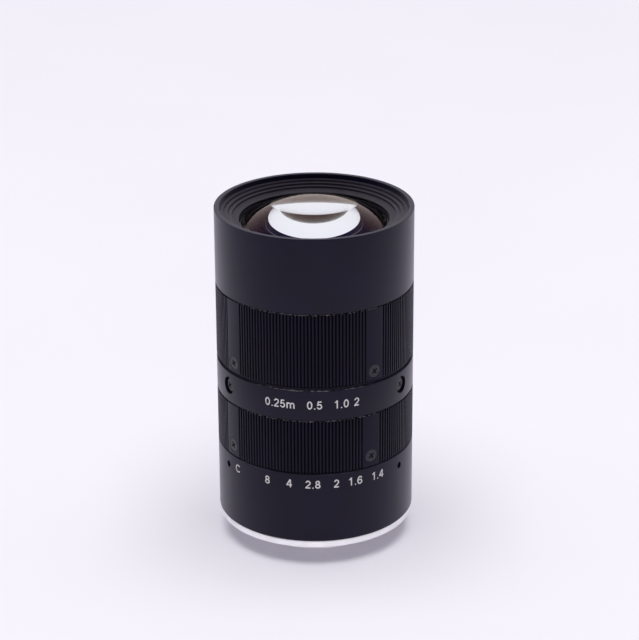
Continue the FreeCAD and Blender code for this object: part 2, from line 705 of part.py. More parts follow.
class Glass:
    """Levels and radii of one glass element, as expressions on the sheet."""

    def __init__(self, name, above, room):
        """Hang the element under a level, with its edge stepped in from a radius."""
        self.name = name
        self.edge = minus(room, size(f"{name}_edge_step"))
        self.clear = minus(self.edge, "clear_margin")
        self.upper = minus(above, size(f"{name}_air"))
        self.lower = minus(self.upper, size(f"{name}_thickness"))
        upper_rise = size(f"{name}_upper_rise")
        lower_rise = size(f"{name}_lower_rise")
        self.upper_bulges = value(upper_rise) > 0
        self.lower_bulges = value(lower_rise) < 0
        self.upper_radius = self.curvature(
            upper_rise, self.edge if self.upper_bulges else self.clear)
        self.lower_radius = self.curvature(
            lower_rise, self.edge if self.lower_bulges else self.clear)

    @staticmethod
    def curvature(rise, rim):
        """Radius of the sphere that rises so much from its rim to the axis."""
        return f"(({rim} * {rim} + {rise} * {rise}) / (2 * {rise}))"

    def upper_at(self, radius):
        """Level of the upper surface at a distance from the axis."""
        return self.surface(self.upper, self.upper_radius, self.upper_bulges, radius)

    def lower_at(self, radius):
        """Level of the lower surface at a distance from the axis."""
        return self.surface(self.lower, self.lower_radius, not self.lower_bulges, radius)

    @staticmethod
    def surface(vertex, radius, upwards, at):
        """Level of a sphere through a vertex, bulging up or down."""
        if upwards:
            return sag_level(vertex, radius, at)
        return f"({vertex} - {radius} - sqrt({radius} * {radius} - {at} * {at}))"

    def upper_rest(self, inner):
        """Highest level of the upper side outside a radius, where a ring lies."""
        return self.upper_at(inner) if self.upper_bulges else self.upper_edge

    def lower_rest(self, inner):
        """Lowest level of the lower side outside a radius, where it is seated."""
        return self.lower_at(inner) if self.lower_bulges else self.lower_edge

    @property
    def upper_edge(self):
        """Level of the upper side at the edge."""
        return self.upper_at(self.edge if self.upper_bulges else self.clear)

    @property
    def lower_edge(self):
        """Level of the lower side at the edge."""
        return self.lower_at(self.edge if self.lower_bulges else self.clear)

    def ball(self, side, vertex, radius):
        """Sphere of one surface, centred under or over its vertex."""
        sphere = doc.addObject("Part::Sphere", f"{self.name}_{side}_ball")
        sphere.setExpression("Radius", f"abs({radius})")
        sphere.setExpression("Placement.Base.z", f"{vertex} - {radius}")
        return sphere

    def build(self):
        """Grind the element out of a round blank with two spheres."""
        top = self.upper if self.upper_bulges else self.upper_edge
        bottom = self.lower if self.lower_bulges else self.lower_edge
        blank = doc.addObject("Part::Cylinder", f"{self.name}_blank")
        blank.setExpression("Radius", self.edge)
        blank.setExpression("Height", minus(top, bottom))
        blank.setExpression("Placement.Base.z", bottom)
        half = self.ground(blank, "upper", self.upper, self.upper_radius, self.upper_bulges)
        keep(self.name, self.ground(half, "lower", self.lower, self.lower_radius,
                                    self.lower_bulges))

    def ground(self, piece, side, vertex, radius, bulges):
        """Give one side its surface: inside a sphere, or hollowed by one."""
        ball = self.ball(side, vertex, radius)
        if bulges:
            result = doc.addObject("Part::Common", f"{self.name}_{side}")
        else:
            result = doc.addObject("Part::Cut", f"{self.name}_{side}")
        result.Base = piece
        result.Tool = ball
        return result


def glass_stack(names, above, room):
    """Hang elements one under another, each inside the edge of the one before."""
    stack = []
    for name in names:
        element = Glass(name, above, room)
        stack.append(element)
        above = element.lower
        room = element.edge
    return stack


front_glass = glass_stack(FRONT_GLASS, plus(rim_level, "dome_proud"), front_room)
rear_glass = glass_stack(REAR_GLASS, size("iris_base_bottom"), rear_room)


def make_bezel():
    """Stepped ring in front of the glass, which it holds by its lower lip."""
    recess = minus("barrel_radius", "rim_width")
    outer = minus(recess, "fit_gap")
    dome = front_glass[0]
    bore = minus(dome.edge, "bezel_overlap")
    lip = minus(dome.edge, "seam_gap")
    lip_levels = [plus(dome.upper_at(at), "seam_gap") for at in (bore, lip)]
    skirt = minus(tube_inner, "edge_break")
    top = minus(rim_level, "recess_depth")
    profile = [(bore, lip_levels[0]), (lip, lip_levels[1]), (skirt, lip_levels[1]),
               (skirt, bezel_seat), (outer, bezel_seat), (outer, top)]
    for index in range(int(value(size("step_count")))):
        inner = f"({recess} - {size('first_step_width')} - {size('step_width')} * {index})"
        level = f"({top} - {size('step_rise')} * {index})"
        lower = f"({top} - {size('step_rise')} * {index + 1})"
        profile.extend([(inner, level), (inner, lower)])
    ledge = minus(rim_level, "ledge_drop")
    groove_top = minus(ledge, "ledge_lip")
    groove_floor = minus(groove_top, "ledge_groove_height")
    groove = plus(bore, "ledge_groove_depth")
    profile.extend([(bore, ledge), (bore, groove_top), (groove, groove_top),
                    (groove, groove_floor), (bore, groove_floor)])
    keep("front_bezel", turned("front_bezel", profile))


def spacer(name, below, above):
    """Ring between two elements, clear of both by the seat gap."""
    outer = minus(plus(below.edge, "glass_gap"), "fit_gap")
    inner = minus(outer, "spacer_width")
    keep(name, turned(name, ring_profile(
        inner, outer, plus(below.upper_rest(inner), "seat_gap"),
        minus(above.lower_rest(inner), "seat_gap"))))


def make_front_cell():
    """Stepped cell whose bores seat the five front elements."""
    wall = size("cell_wall")
    bores = [plus(element.edge, "glass_gap") for element in front_glass]
    lip = minus(front_glass[-1].edge, "seat_lip")
    inner_steps = bores[1:] + [lip]
    seats = [minus(element.lower_rest(step), "seat_gap")
             for element, step in zip(front_glass, inner_steps)]
    top = minus(front_glass[0].upper_edge, "edge_break")
    flange_bottom = minus(top, "cell_flange_height")
    floor = minus(seats[-1], "lip_thickness")
    outside = [(plus(bores[-1], wall), floor)]
    for index in range(len(front_glass) - 2, 0, -1):
        step = minus(seats[index], wall)
        outside.extend([(plus(bores[index + 1], wall), step), (plus(bores[index], wall), step)])
    outside.extend([(plus(bores[1], wall), flange_bottom), (cell_outer, flange_bottom),
                    (cell_outer, top)])
    inside = [(bores[0], top)]
    for seat, bore, step in zip(seats, bores, inner_steps):
        inside.extend([(bore, seat), (step, seat)])
    keep("front_cell", turned("front_cell", outside + inside + [(lip, floor)]))


def make_spacers():
    """Rings that keep the elements apart."""
    first, second, third, fourth, fifth = front_glass
    seventh, eighth = rear_glass[1:]
    for name, below, above in (("second_spacer", second, first),
                               ("third_spacer", third, second),
                               ("fourth_spacer", fourth, third),
                               ("fifth_spacer", fifth, fourth),
                               ("rear_spacer", eighth, seventh)):
        spacer(name, below, above)


def make_rear_cell():
    """Rear cell with its flange in the tube, its lock ring and its retaining ring."""
    top = minus("iris_base_bottom", "seat_gap")
    flange_bottom = minus(top, "rear_flange_height")
    last = rear_glass[-1]
    bore = plus(last.edge, "glass_gap")
    seat_radius = minus(last.edge, "rear_seat_lip")
    seat = minus(last.lower_rest(seat_radius), "seat_gap")
    profile = [(seat_radius, size("rear_cell_bottom")),
               (rear_cell_outer, size("rear_cell_bottom")),
               (rear_cell_outer, flange_bottom), (cell_outer, flange_bottom),
               (cell_outer, top), (bore, top), (bore, seat), (seat_radius, seat)]
    keep("rear_cell", turned("rear_cell", profile))
    ring_top = minus(flange_bottom, "fit_gap")
    ring_width = f"({minus(cell_outer, rear_cell_outer)} * {size('lock_ring_share')})"
    keep("rear_cell_lock_ring", turned("rear_cell_lock_ring", ring_profile(
        minus(cell_outer, ring_width), cell_outer,
        minus(ring_top, "lock_ring_height"), ring_top)))
    first = rear_glass[0]
    outer = minus(bore, "fit_gap")
    keep("rear_retaining_ring", turned("rear_retaining_ring", ring_profile(
        minus(outer, "spacer_width"), outer,
        plus(first.upper_rest(minus(outer, "spacer_width")), "seat_gap"), top)))


def polar(radius, angle):
    """Point in the plane of the iris, with its angle counted from +X."""
    return VECTOR(radius * math.cos(math.radians(angle)),
                  radius * math.sin(math.radians(angle)), 0)


def turned_about_axis(point, angle):
    """Turn a point about the optical axis, in degrees."""
    return FreeCAD.Rotation(UP, angle).multVec(point)


def iris_numbers():
    """Numbers that the iris formulas share, read from the sheet."""
    count = int(value(size("blade_count")))
    sweep = value(plus("open_angle", "closed_angle"))
    return count, value(size("blade_turn")) / sweep, value(size("open_angle"))


def drive_point(turn):
    """Place of a blade's drive pin after a turn from open, for a pivot on +X."""
    half_turn = value(size("blade_turn")) / 2
    lever = polar(value(lever_length), turn - half_turn - RIGHT_ANGLE)
    return polar(value(pivot_radius), 0) + lever


def make_iris_base():
    """Fixed plate under the blades, with a hole for each pivot."""
    blank = turned("iris_base_blank", ring_profile(
        plus(stop_radius, "running_gap"), cell_outer, size("iris_base_bottom"),
        iris_base_top))
    count = iris_numbers()[0]
    holes = []
    for index in range(count):
        hole = doc.addObject("Part::Cylinder", f"pivot_hole_{index}")
        hole.setExpression("Radius", plus("pivot_pin_radius", "running_gap"))
        hole.setExpression("Height", size("iris_base_height"))
        floor = minus(iris_base_top, "pivot_pin_length", "seam_gap")
        place = polar(value(pivot_radius), FULL_TURN * index / count)
        hole.Placement = FreeCAD.Placement(place + UP * value(floor), FreeCAD.Rotation())
        holes.append(hole)
    keep("iris_base", cut("iris_base", blank, fused("pivot_holes", holes)))


def blade_shape(index):
    """One blade in its layer: band, neck, lever and both pins, at the drawn setting."""
    count, ratio, opening = iris_numbers()
    level = value(first_blade_level) + index * value(size("blade_pitch"))
    thickness = value(size("blade_thickness"))
    inner = value(stop_radius)
    outer = value(band_radius)
    pivot = polar(value(pivot_radius), 0)
    drive = drive_point(0)
    pin = value(size("pivot_pin_radius"))
    lug = pin * LUG_SHARE
    drive_lug = value(size("drive_pin_radius")) * LUG_SHARE
    span = value(size("blade_span"))
    band = Part.makeCylinder(outer, thickness, VECTOR(), UP, span)
    band = band.cut(Part.makeCylinder(inner, thickness))
    neck_start = (inner + outer) / 2
    neck = Part.makeBox(pivot.x - neck_start, lug, thickness, VECTOR(neck_start, 0, 0))
    lever = bar(pivot, drive, drive_lug, thickness)
    pieces = [neck, lever, Part.makeCylinder(lug, thickness, pivot),
              Part.makeCylinder(drive_lug, thickness, drive)]
    pivot_length = level - value(iris_base_top) + value(size("pivot_pin_length"))
    pieces.append(Part.makeCylinder(pin, pivot_length + thickness,
                                    pivot - UP * pivot_length))
    drive_length = value(cam_bottom) - level + value(size("drive_pin_length"))
    pieces.append(Part.makeCylinder(value(size("drive_pin_radius")), drive_length, drive))
    blade = band.multiFuse(pieces).removeSplitter()
    blade.rotate(pivot, UP, opening * ratio)
    blade.rotate(VECTOR(), UP, FULL_TURN * index / count)
    blade.translate(UP * level)
    return blade


def bar(start, end, half_width, thickness):
    """Flat bar between two points of the iris plane."""
    along = end - start
    side = VECTOR(-along.y, along.x, 0).normalize() * half_width
    corners = [start + side, end + side, end - side, start - side, start + side]
    return Part.Face(Part.makePolygon(corners)).extrude(UP * thickness)


def make_blades():
    """Iris blades, each in its own layer."""
    for index in range(iris_numbers()[0]):
        name = f"iris_blade_{index + 1}"
        keep(name, shaped(name, blade_shape(index)))


def cam_slot(index):
    """Curved slot that turns one blade in step with the cam."""
    count, ratio, opening = iris_numbers()
    sweep = value(plus("open_angle", "closed_angle"))
    half_width = value(plus("drive_pin_radius", "running_gap"))
    path = []
    for step in range(SLOT_STEPS + 1):
        cam_turn = opening - sweep * step / SLOT_STEPS
        point = drive_point((opening - cam_turn) * ratio)
        path.append(turned_about_axis(point, -cam_turn))
    curve = Part.BSplineCurve()
    curve.interpolate(path)
    sides = []
    for sign in (1, -1):
        points = []
        for step in range(SLOT_STEPS + 1):
            parameter = curve.parameter(path[step])
            tangent = curve.tangent(parameter)[0]
            points.append(path[step] + VECTOR(-tangent.y, tangent.x, 0) * sign * half_width)
        side = Part.BSplineCurve()
        side.interpolate(points)
        sides.append((side, points))
    ends = []
    for place, direction_sign in ((0, -1), (SLOT_STEPS, 1)):
        tangent = curve.tangent(curve.parameter(path[place]))[0]
        tip = path[place] + tangent * direction_sign * half_width
        ends.append(Part.Arc(sides[0][1][place], tip, sides[1][1][place]).toShape())
    edges = [sides[0][0].toShape(), ends[1], sides[1][0].toShape(), ends[0]]
    outline = Part.Wire(Part.__sortEdges__(edges))
    depth = value(size("slot_depth")) + value(size("seam_gap"))
    slot = Part.Face(outline).extrude(UP * depth)
    slot.rotate(VECTOR(), UP, FULL_TURN * index / count)
    slot.translate(UP * (value(cam_bottom) - value(size("seam_gap"))))
    return slot


def make_cam():
    """Turning plate over the blades, with its pin and the ring that holds it down."""
    blank = turned("iris_cam_blank", ring_profile(
        plus(stop_radius, "cam_bore_margin"), moving_outer, cam_bottom, cam_top))
    slots = [shaped(f"cam_slot_{index}", cam_slot(index))
             for index in range(iris_numbers()[0])]
    azimuth = value(size("link_azimuth"))
    inner_end = minus(moving_outer, "link_grip")
    link_hole = radial_pin("cam_link_hole", plus("link_radius", "fit_gap"),
                           drill_length, azimuth, inner_end, link_level)
    keep("iris_cam", cut("iris_cam", blank, fused("cam_cuts", slots + [link_hole])))
    outer_end = minus(plus(ring_bore, "link_groove_depth"), "running_gap")
    keep("iris_link_pin", radial_pin("iris_link_pin", "link_radius",
                                     minus(outer_end, inner_end), azimuth, inner_end,
                                     link_level))
    bottom = plus(cam_top, "layer_gap")
    keep("iris_retaining_ring", turned("iris_retaining_ring", ring_profile(
        minus(cell_outer, "retainer_width"), cell_outer, bottom,
        plus(bottom, "retainer_height"))))


def build_lens():
    """Build every piece, from the mount to the front glass."""
    make_mount()
    make_scale_ring()
    make_main_barrel()
    make_middle_ring()
    make_guide_screw()
    make_iris_ring()
    make_focus_ring()
    make_keeper()
    make_lens_tube()
    make_hood()
    make_bezel()
    for element in front_glass + rear_glass:
        element.build()
    make_front_cell()
    make_spacers()
    make_rear_cell()
    make_iris_base()
    make_blades()
    make_cam()


def check_model():
    """Stop with a plain message if anything failed to build."""
    for item in doc.Objects:
        if {"Invalid", "Error"} & set(item.State):
            raise RuntimeError(f"{item.Name} did not build: {item.State}")
    for name, piece in nodes.items():
        if piece.Shape.isNull() or not piece.Shape.isValid() or not piece.Shape.Solids:
            raise RuntimeError(f"{name} has no valid solid")


def write_parts():
    """Write one file for each node."""
    os.makedirs("parts", exist_ok=True)
    for name, piece in nodes.items():
        piece.Shape.exportStep(f"parts/{name}.step")
        print(f"{name}: {len(piece.Shape.Solids)} solid(s), "
              f"{piece.Shape.Volume:.2f} cubic millimetres")


build_lens()
doc.recompute()
check_model()
write_parts()
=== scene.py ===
"""Looks of a fixed focal length camera lens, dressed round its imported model.

Sizes are in metres, written as millimetres times MM. Azimuths are in degrees about
+Z, counted from -Y (the side that carries the aperture scale) towards +X.
"""
import logging
import math
from collections.abc import Iterator, Mapping, Sequence
from dataclasses import dataclass, field, replace
from enum import Enum

import bmesh
import bpy
from mathutils import Matrix, Vector


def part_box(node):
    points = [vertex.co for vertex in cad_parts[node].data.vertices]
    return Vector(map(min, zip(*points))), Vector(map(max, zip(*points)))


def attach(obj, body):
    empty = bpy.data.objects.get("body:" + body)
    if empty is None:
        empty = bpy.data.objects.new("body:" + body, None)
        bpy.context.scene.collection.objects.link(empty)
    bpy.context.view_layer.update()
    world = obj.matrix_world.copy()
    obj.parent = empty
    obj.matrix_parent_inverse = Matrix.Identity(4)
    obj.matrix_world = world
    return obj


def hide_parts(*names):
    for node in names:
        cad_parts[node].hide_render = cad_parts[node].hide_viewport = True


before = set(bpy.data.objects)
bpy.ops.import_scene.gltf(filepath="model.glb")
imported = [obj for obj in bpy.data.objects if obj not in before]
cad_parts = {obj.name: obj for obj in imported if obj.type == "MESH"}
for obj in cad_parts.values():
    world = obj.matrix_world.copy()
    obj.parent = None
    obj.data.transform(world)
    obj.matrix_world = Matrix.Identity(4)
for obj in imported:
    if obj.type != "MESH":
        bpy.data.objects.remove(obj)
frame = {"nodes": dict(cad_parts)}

LOG = logging.getLogger("lens")
MM = 0.001
FULL_TURN = 360.0
TINY = 1e-9
SEGMENTS = 720
SMOOTH_ANGLE = math.radians(30.0)
UP = Vector((0.0, 0.0, 1.0))

Point = tuple[float, float]
Range = tuple[float, float]
Colour = tuple[float, float, float]

NOISE_RANGE: Range = (0.3, 0.7)


class Body(Enum):
    """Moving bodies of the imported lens."""

    FIXED = "fixed_barrel"
    BLOCK = "lens_block"
    FOCUS = "focus_ring"
    IRIS = "iris_ring"


class Slot(Enum):
    """Material slots of the record."""

    MOUNT = "bright_mount"
    ANODISED = "black_anodised"
    STEEL = "black_steel"
    GLASS = "coated_glass"


class Side(Enum):
    """Side of a glass element."""

    UPPER = 1.0
    LOWER = -1.0


@dataclass(frozen=True)
class Span:
    """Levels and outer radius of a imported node."""

    bottom: float
    top: float
    radius: float

    @classmethod
    def of(cls, node: str) -> "Span":
        """Read the span of a node from the frame.

        Args:
            node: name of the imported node.

        Returns:
            Its lowest and highest level and its outer radius.
        """
        low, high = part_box(node)
        return cls(low.z, high.z, (high.x - low.x) / 2)


@dataclass(frozen=True)
class Corner:
    """Corner of a turned section, with the fillet that rounds it."""

    radius: float
    level: float
    fillet: float = 0.0

    @property
    def place(self) -> Vector:
        """The corner in the plane of the section."""
        return Vector((self.radius, self.level))


def on_turn(azimuth: float, radius: float, level: float) -> Vector:
    """Place a point by its azimuth, radius and level.

    Args:
        azimuth: angle in degrees from -Y towards +X.
        radius: distance from the optical axis.
        level: height above the end face of the mount.

    Returns:
        The point in the row frame.
    """
    angle = math.radians(azimuth)
    return Vector((radius * math.sin(angle), -radius * math.cos(angle), level))


def outward_frame(azimuth: float, radius: float, level: float) -> Matrix:
    """Frame on the side of the lens, with z outwards, x along the turn and y up.

    Args:
        azimuth: angle in degrees of the frame's origin.
        radius: distance of the origin from the optical axis.
        level: height of the origin.

    Returns:
        The matrix that takes local places to the row frame.
    """
    outward = on_turn(azimuth, 1.0, 0.0)
    across = UP.cross(outward)
    turn = Matrix((across, UP, outward)).transposed().to_4x4()
    return Matrix.Translation(on_turn(azimuth, radius, level)) @ turn


def evenly(first: float, count: int) -> list[float]:
    """Azimuths of evenly spaced features, from the first one on."""
    return [first + FULL_TURN * index / count for index in range(count)]


def rounded(corners: Sequence[Corner], steps: int = 4) -> list[Point]:
    """Round the corners of a closed section.

    Args:
        corners: the corners in order round the section.
        steps: chords in each rounded corner.

    Returns:
        The (radius, level) points of the section.
    """
    points: list[Point] = []
    for index, corner in enumerate(corners):
        if corner.fillet <= 0.0:
            points.append((corner.radius, corner.level))
            continue
        here = corner.place
        back = (corners[index - 1].place - here).normalized()
        ahead = (corners[(index + 1) % len(corners)].place - here).normalized()
        half = back.angle(ahead) / 2
        reach = corner.fillet / math.tan(half)
        centre = here + (back + ahead).normalized() * (corner.fillet / math.sin(half))
        first, last = here + back * reach - centre, here + ahead * reach - centre
        for step in range(steps + 1):
            spoke = first.lerp(last, step / steps).normalized() * corner.fillet
            points.append(tuple(centre + spoke))
    return points


def join_loops(work: bmesh.types.BMesh, first: list, second: list) -> None:
    """Fill the band between two loops of vertices, either of which may be one point.

    Args:
        work: mesh that takes the faces.
        first: vertices of the one loop.
        second: vertices of the other loop.
    """
    if len(first) == 1 and len(second) == 1:
        return
    count = max(len(first), len(second))
    for index in range(count):
        following = (index + 1) % count
        corners = [first[index % len(first)], first[following % len(first)],
                   second[following % len(second)], second[index % len(second)]]
        work.faces.new(list(dict.fromkeys(corners)))


def turned_mesh(section: Sequence[Point], segments: int = SEGMENTS) -> bmesh.types.BMesh:
    """Turn a closed section about the optical axis.

    Args:
        section: (radius, level) points in order.
        segments: steps of the turn.

    Returns:
        The closed mesh.
    """
    work = bmesh.new()
    loops = []
    for radius, level in section:
        azimuths = evenly(0.0, segments) if radius > TINY else [0.0]
        loops.append([work.verts.new(on_turn(azimuth, radius, level)) for azimuth in azimuths])
    for index, loop in enumerate(loops):
        join_loops(work, loop, loops[(index + 1) % len(loops)])
    return work


def finished(name: str, work: bmesh.types.BMesh) -> bpy.types.Object:
    """Turn a working mesh into a smooth-shaded object with crisp edges.

    Args:
        name: name of the object.
        work: the mesh, which is freed.

    Returns:
        The new object, linked to the scene.
    """
    bmesh.ops.recalc_face_normals(work, faces=work.faces)
    mesh = bpy.data.meshes.new(name)
    work.to_mesh(mesh)
    work.free()
    crisp(mesh)
    piece = bpy.data.objects.new(name, mesh)
    bpy.context.scene.collection.objects.link(piece)
    return piece


def crisp(mesh: bpy.types.Mesh) -> None:
    """Shade a mesh smooth, with its sharp edges kept sharp."""
    mesh.shade_smooth()
    mesh.set_sharp_from_angle(angle=SMOOTH_ANGLE)


def carve(piece: bpy.types.Object, cutter: bpy.types.Object) -> None:
    """Cut one object out of another and drop the cutter.

    Args:
        piece: the object that is cut.
        cutter: the object that is taken away from it.
    """
    tool = piece.modifiers.new("carve", "BOOLEAN")
    tool.operation = "DIFFERENCE"
    tool.solver = "EXACT"
    tool.object = cutter
    bpy.context.view_layer.update()
    evaluated = piece.evaluated_get(bpy.context.evaluated_depsgraph_get())
    carved = bpy.data.meshes.new_from_object(evaluated)
    piece.modifiers.clear()
    piece.data = carved
    crisp(carved)
    bpy.data.objects.remove(cutter)


def gathered(name: str, parts: Sequence[tuple[bmesh.types.BMesh, Matrix]]) -> bpy.types.Object:
    """Set several small meshes in their places, as one object.

    Args:
        name: name of the object.
        parts: each working mesh with the matrix that places it; the meshes are freed.

    Returns:
        The new object.
    """
    whole = bmesh.new()
    for work, matrix in parts:
        part = bpy.data.meshes.new(name)
        work.to_mesh(part)
        part.transform(matrix)
        whole.from_mesh(part)
        bpy.data.meshes.remove(part)
    for work in {id(work): work for work, _ in parts}.values():
        work.free()
    return finished(name, whole)


def repeated(name: str, pattern: bpy.types.Object, seats: Sequence[Matrix]) -> bpy.types.Object:
    """Set a copy of an object in each seat, as one object, and drop the pattern.

    Args:
        name: name of the new object.
        pattern: the object that is copied.
        seats: the matrix that places each copy.

    Returns:
        The new object.
    """
    parts = []
    for seat in seats:
        work = bmesh.new()
        work.from_mesh(pattern.data)
        parts.append((work, seat))
    bpy.data.objects.remove(pattern)
    return gathered(name, parts)


def dress(piece: bpy.types.Object, *materials: bpy.types.Material) -> None:
    """Give an object its materials, in the order of its slots.

    Args:
        piece: the object.
        materials: a material for each slot.
    """
    piece.data.materials.clear()
    for material in materials:
        piece.data.materials.append(material)


def hand_over(piece: bpy.types.Object, body: Body, slot: Slot, *nodes: str) -> None:
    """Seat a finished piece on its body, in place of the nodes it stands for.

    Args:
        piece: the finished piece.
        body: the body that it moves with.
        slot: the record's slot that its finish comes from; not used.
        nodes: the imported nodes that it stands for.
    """
    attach(piece, body.value)
    if nodes:
        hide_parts(*nodes)
    LOG.info("%s rides on %s", piece.name, body.value)


def toned(colour: Colour, share: float) -> Colour:
    """The same colour, darker or lighter by a share."""
    return tuple(channel * share for channel in colour)


class Graph:
    """Node tree of a material or of the surroundings, with short calls that fill it."""

    SPECK_CORE = 0.4
    MIX_FACTOR, MIX_FIRST, MIX_SECOND, MIX_RESULT = 0, 6, 7, 2

    def __init__(self, owner: bpy.types.Material | bpy.types.World, output: str) -> None:
        """Empty the owner's node tree but for its output.

        Args:
            owner: material or world that the tree belongs to.
            output: kind of its output node.
        """
        owner.use_nodes = True
        self.owner = owner
        self.tree = owner.node_tree
        self.tree.nodes.clear()
        self.output = self.tree.nodes.new(output)

    @classmethod
    def of_material(cls, name: str) -> "Graph":
        """Start a new material."""
        return cls(bpy.data.materials.new(name), "ShaderNodeOutputMaterial")

    @classmethod
    def of_world(cls, name: str) -> "Graph":
        """Start new surroundings."""
        return cls(bpy.data.worlds.new(name), "ShaderNodeOutputWorld")

    def add(self, kind: str, inputs: dict | None = None, **settings: object) -> bpy.types.Node:
        """Add a node.

        Args:
            kind: the node's type.
            inputs: values or sockets for its inputs, by name or number.
            settings: properties of the node.

        Returns:
            The node.
        """
        node = self.tree.nodes.new(kind)
        for key, setting in settings.items():
            setattr(node, key, setting)
        for key, source in (inputs or {}).items():
            if isinstance(source, bpy.types.NodeSocket):
                self.tree.links.new(source, node.inputs[key])
            else:
                node.inputs[key].default_value = source
        return node

    def close(self, shader: bpy.types.NodeSocket) -> None:
        """Lead a shader to the output."""
        self.tree.links.new(shader, self.output.inputs["Surface"])

    def surface(self, inputs: dict[str, object]) -> bpy.types.Material:
        """Close the tree with one principled shader.

        Args:
            inputs: values or sockets for the shader's inputs.

        Returns:
            The finished material.
        """
        self.close(self.add("ShaderNodeBsdfPrincipled", inputs).outputs["BSDF"])
        return self.owner

    def seen(self) -> bpy.types.NodeSocket:
        """One for what the camera sees, directly or in metal and glass, and zero for light.

        Returns:
            The value.
        """
        path = self.add("ShaderNodeLightPath").outputs
        mirrored = self.maths("MAXIMUM", path["Is Glossy Ray"], path["Is Transmission Ray"])
        return self.maths("MAXIMUM", path["Is Camera Ray"], mirrored)

    def maths(self, operation: str, *terms: object) -> bpy.types.NodeSocket:
        """Result of a plain calculation."""
        node = self.add("ShaderNodeMath", dict(enumerate(terms)), operation=operation)
        return node.outputs[0]

    def ramp(self, source: bpy.types.NodeSocket, low: float, high: float, start: float = 0.0,
             end: float = 1.0) -> bpy.types.NodeSocket:
        """Map a value from one range to another, held at its ends.

        Args:
            source: the value.
            low: where the range starts.
            high: where the range ends.
            start: result at the low end.
            end: result at the high end.

        Returns:
            The mapped value.
        """
        inputs = {"Value": source, "From Min": low, "From Max": high, "To Min": start,
                  "To Max": end}
        node = self.add("ShaderNodeMapRange", inputs, interpolation_type="SMOOTHSTEP")
        return node.outputs["Result"]

    def near(self, source: bpy.types.NodeSocket, target: float, reach: float,
             core: float) -> bpy.types.NodeSocket:
        """Mask of where a value is close to a target.

        Args:
            source: the value.
            target: what it is compared with.
            reach: difference at which the mask ends.
            core: share of that difference within which the mask is full.

        Returns:
            One at the target, falling to zero at the reach.
        """
        aside = self.maths("ABSOLUTE", self.maths("SUBTRACT", source, target))
        return self.ramp(aside, reach, core * reach)

    def blend(self, factor: object, first: object, second: object) -> bpy.types.NodeSocket:
        """Mix two colours.

        Args:
            factor: share of the second colour.
            first: colour or socket.
            second: colour or socket.

        Returns:
            The mixed colour.
        """
        first, second = (source if isinstance(source, bpy.types.NodeSocket) else (*source, 1.0)
                         for source in (first, second))
        inputs = {self.MIX_FACTOR: factor, self.MIX_FIRST: first, self.MIX_SECOND: second}
        return self.add("ShaderNodeMix", inputs, data_type="RGBA").outputs[self.MIX_RESULT]

    def noise(self, place: bpy.types.NodeSocket, grain: float, detail: float = 2.0,
              roughness: float = 0.5) -> bpy.types.NodeSocket:
        """Cloudy noise.

        Args:
            place: coordinates to read it at.
            grain: size of its clouds.
            detail: number of finer layers.
            roughness: strength of the finer layers.

        Returns:
            A value round one half.
        """
        inputs = {"Vector": place, "Scale": 1.0 / grain, "Detail": detail,
                  "Roughness": roughness}
        return self.add("ShaderNodeTexNoise", inputs).outputs["Fac"]

    def spread(self, noise: bpy.types.NodeSocket, start: float = 0.0, end: float = 1.0,
               within: Range = NOISE_RANGE) -> bpy.types.NodeSocket:
        """Map cloudy noise to another range.

        Args:
            noise: the noise.
            start: result where the noise is low.
            end: result where the noise is high.
            within: the part of the noise that is mapped.

        Returns:
            The mapped value.
        """
        return self.ramp(noise, *within, start, end)

    def swing(self, noise: bpy.types.NodeSocket, middle: float,
              reach: float) -> bpy.types.NodeSocket:
        """Let a value swing with cloudy noise, by its reach to both sides of its middle."""
        return self.spread(noise, middle - reach, middle + reach)

    def specks(self, place: bpy.types.NodeSocket, spacing: float, size: float,
               share: float) -> bpy.types.NodeSocket:
        """Mask of sparse dust specks.

        Args:
            place: coordinates to read it at.
            spacing: distance between the places where a speck may lie.
            size: radius of a speck.
            share: share of those places that have one.

        Returns:
            One on a speck and zero elsewhere.
        """
        cells = self.add("ShaderNodeTexVoronoi", {"Vector": place, "Scale": 1.0 / spacing})
        reach = size / spacing
        near = self.ramp(cells.outputs["Distance"], reach, self.SPECK_CORE * reach)
        pick = self.add("ShaderNodeSeparateColor", {"Color": cells.outputs["Color"]})
        chosen = self.maths("LESS_THAN", pick.outputs["Red"], share)
        return self.maths("MULTIPLY", near, chosen)

    def bump(self, height: bpy.types.NodeSocket, depth: float) -> bpy.types.NodeSocket:
        """Fine relief.

        Args:
            height: relief from 0 to 1.
            depth: real depth of the relief.

        Returns:
            The normal.
        """
        inputs = {"Height": height, "Distance": depth, "Strength": 1.0}
        return self.add("ShaderNodeBump", inputs).outputs["Normal"]

    def place(self) -> bpy.types.NodeSocket:
        """Place on the object, in metres."""
        return self.add("ShaderNodeTexCoord").outputs["Object"]

    def measures(self, place: bpy.types.NodeSocket) -> Mapping[str, bpy.types.NodeSocket]:
        """X, Y and Z of a place, by name."""
        return self.add("ShaderNodeSeparateXYZ", {"Vector": place}).outputs

    def from_axis(self, place: bpy.types.NodeSocket) -> bpy.types.NodeSocket:
        """Distance of a place from the optical axis.

        Args:
            place: the place.

        Returns:
            The distance in metres.
        """
        flat = self.add("ShaderNodeVectorMath", {0: place, 1: (1.0, 1.0, 0.0)},
                        operation="MULTIPLY").outputs["Vector"]
        return self.add("ShaderNodeVectorMath", {0: flat}, operation="LENGTH").outputs["Value"]

    def turn_place(self, place: bpy.types.NodeSocket) -> bpy.types.NodeSocket:
        """Coordinates that change only across a turned surface, not along the turn."""
        inputs = {"X": self.from_axis(place), "Y": 0.0, "Z": self.measures(place)["Z"]}
        return self.add("ShaderNodeCombineXYZ", inputs).outputs["Vector"]

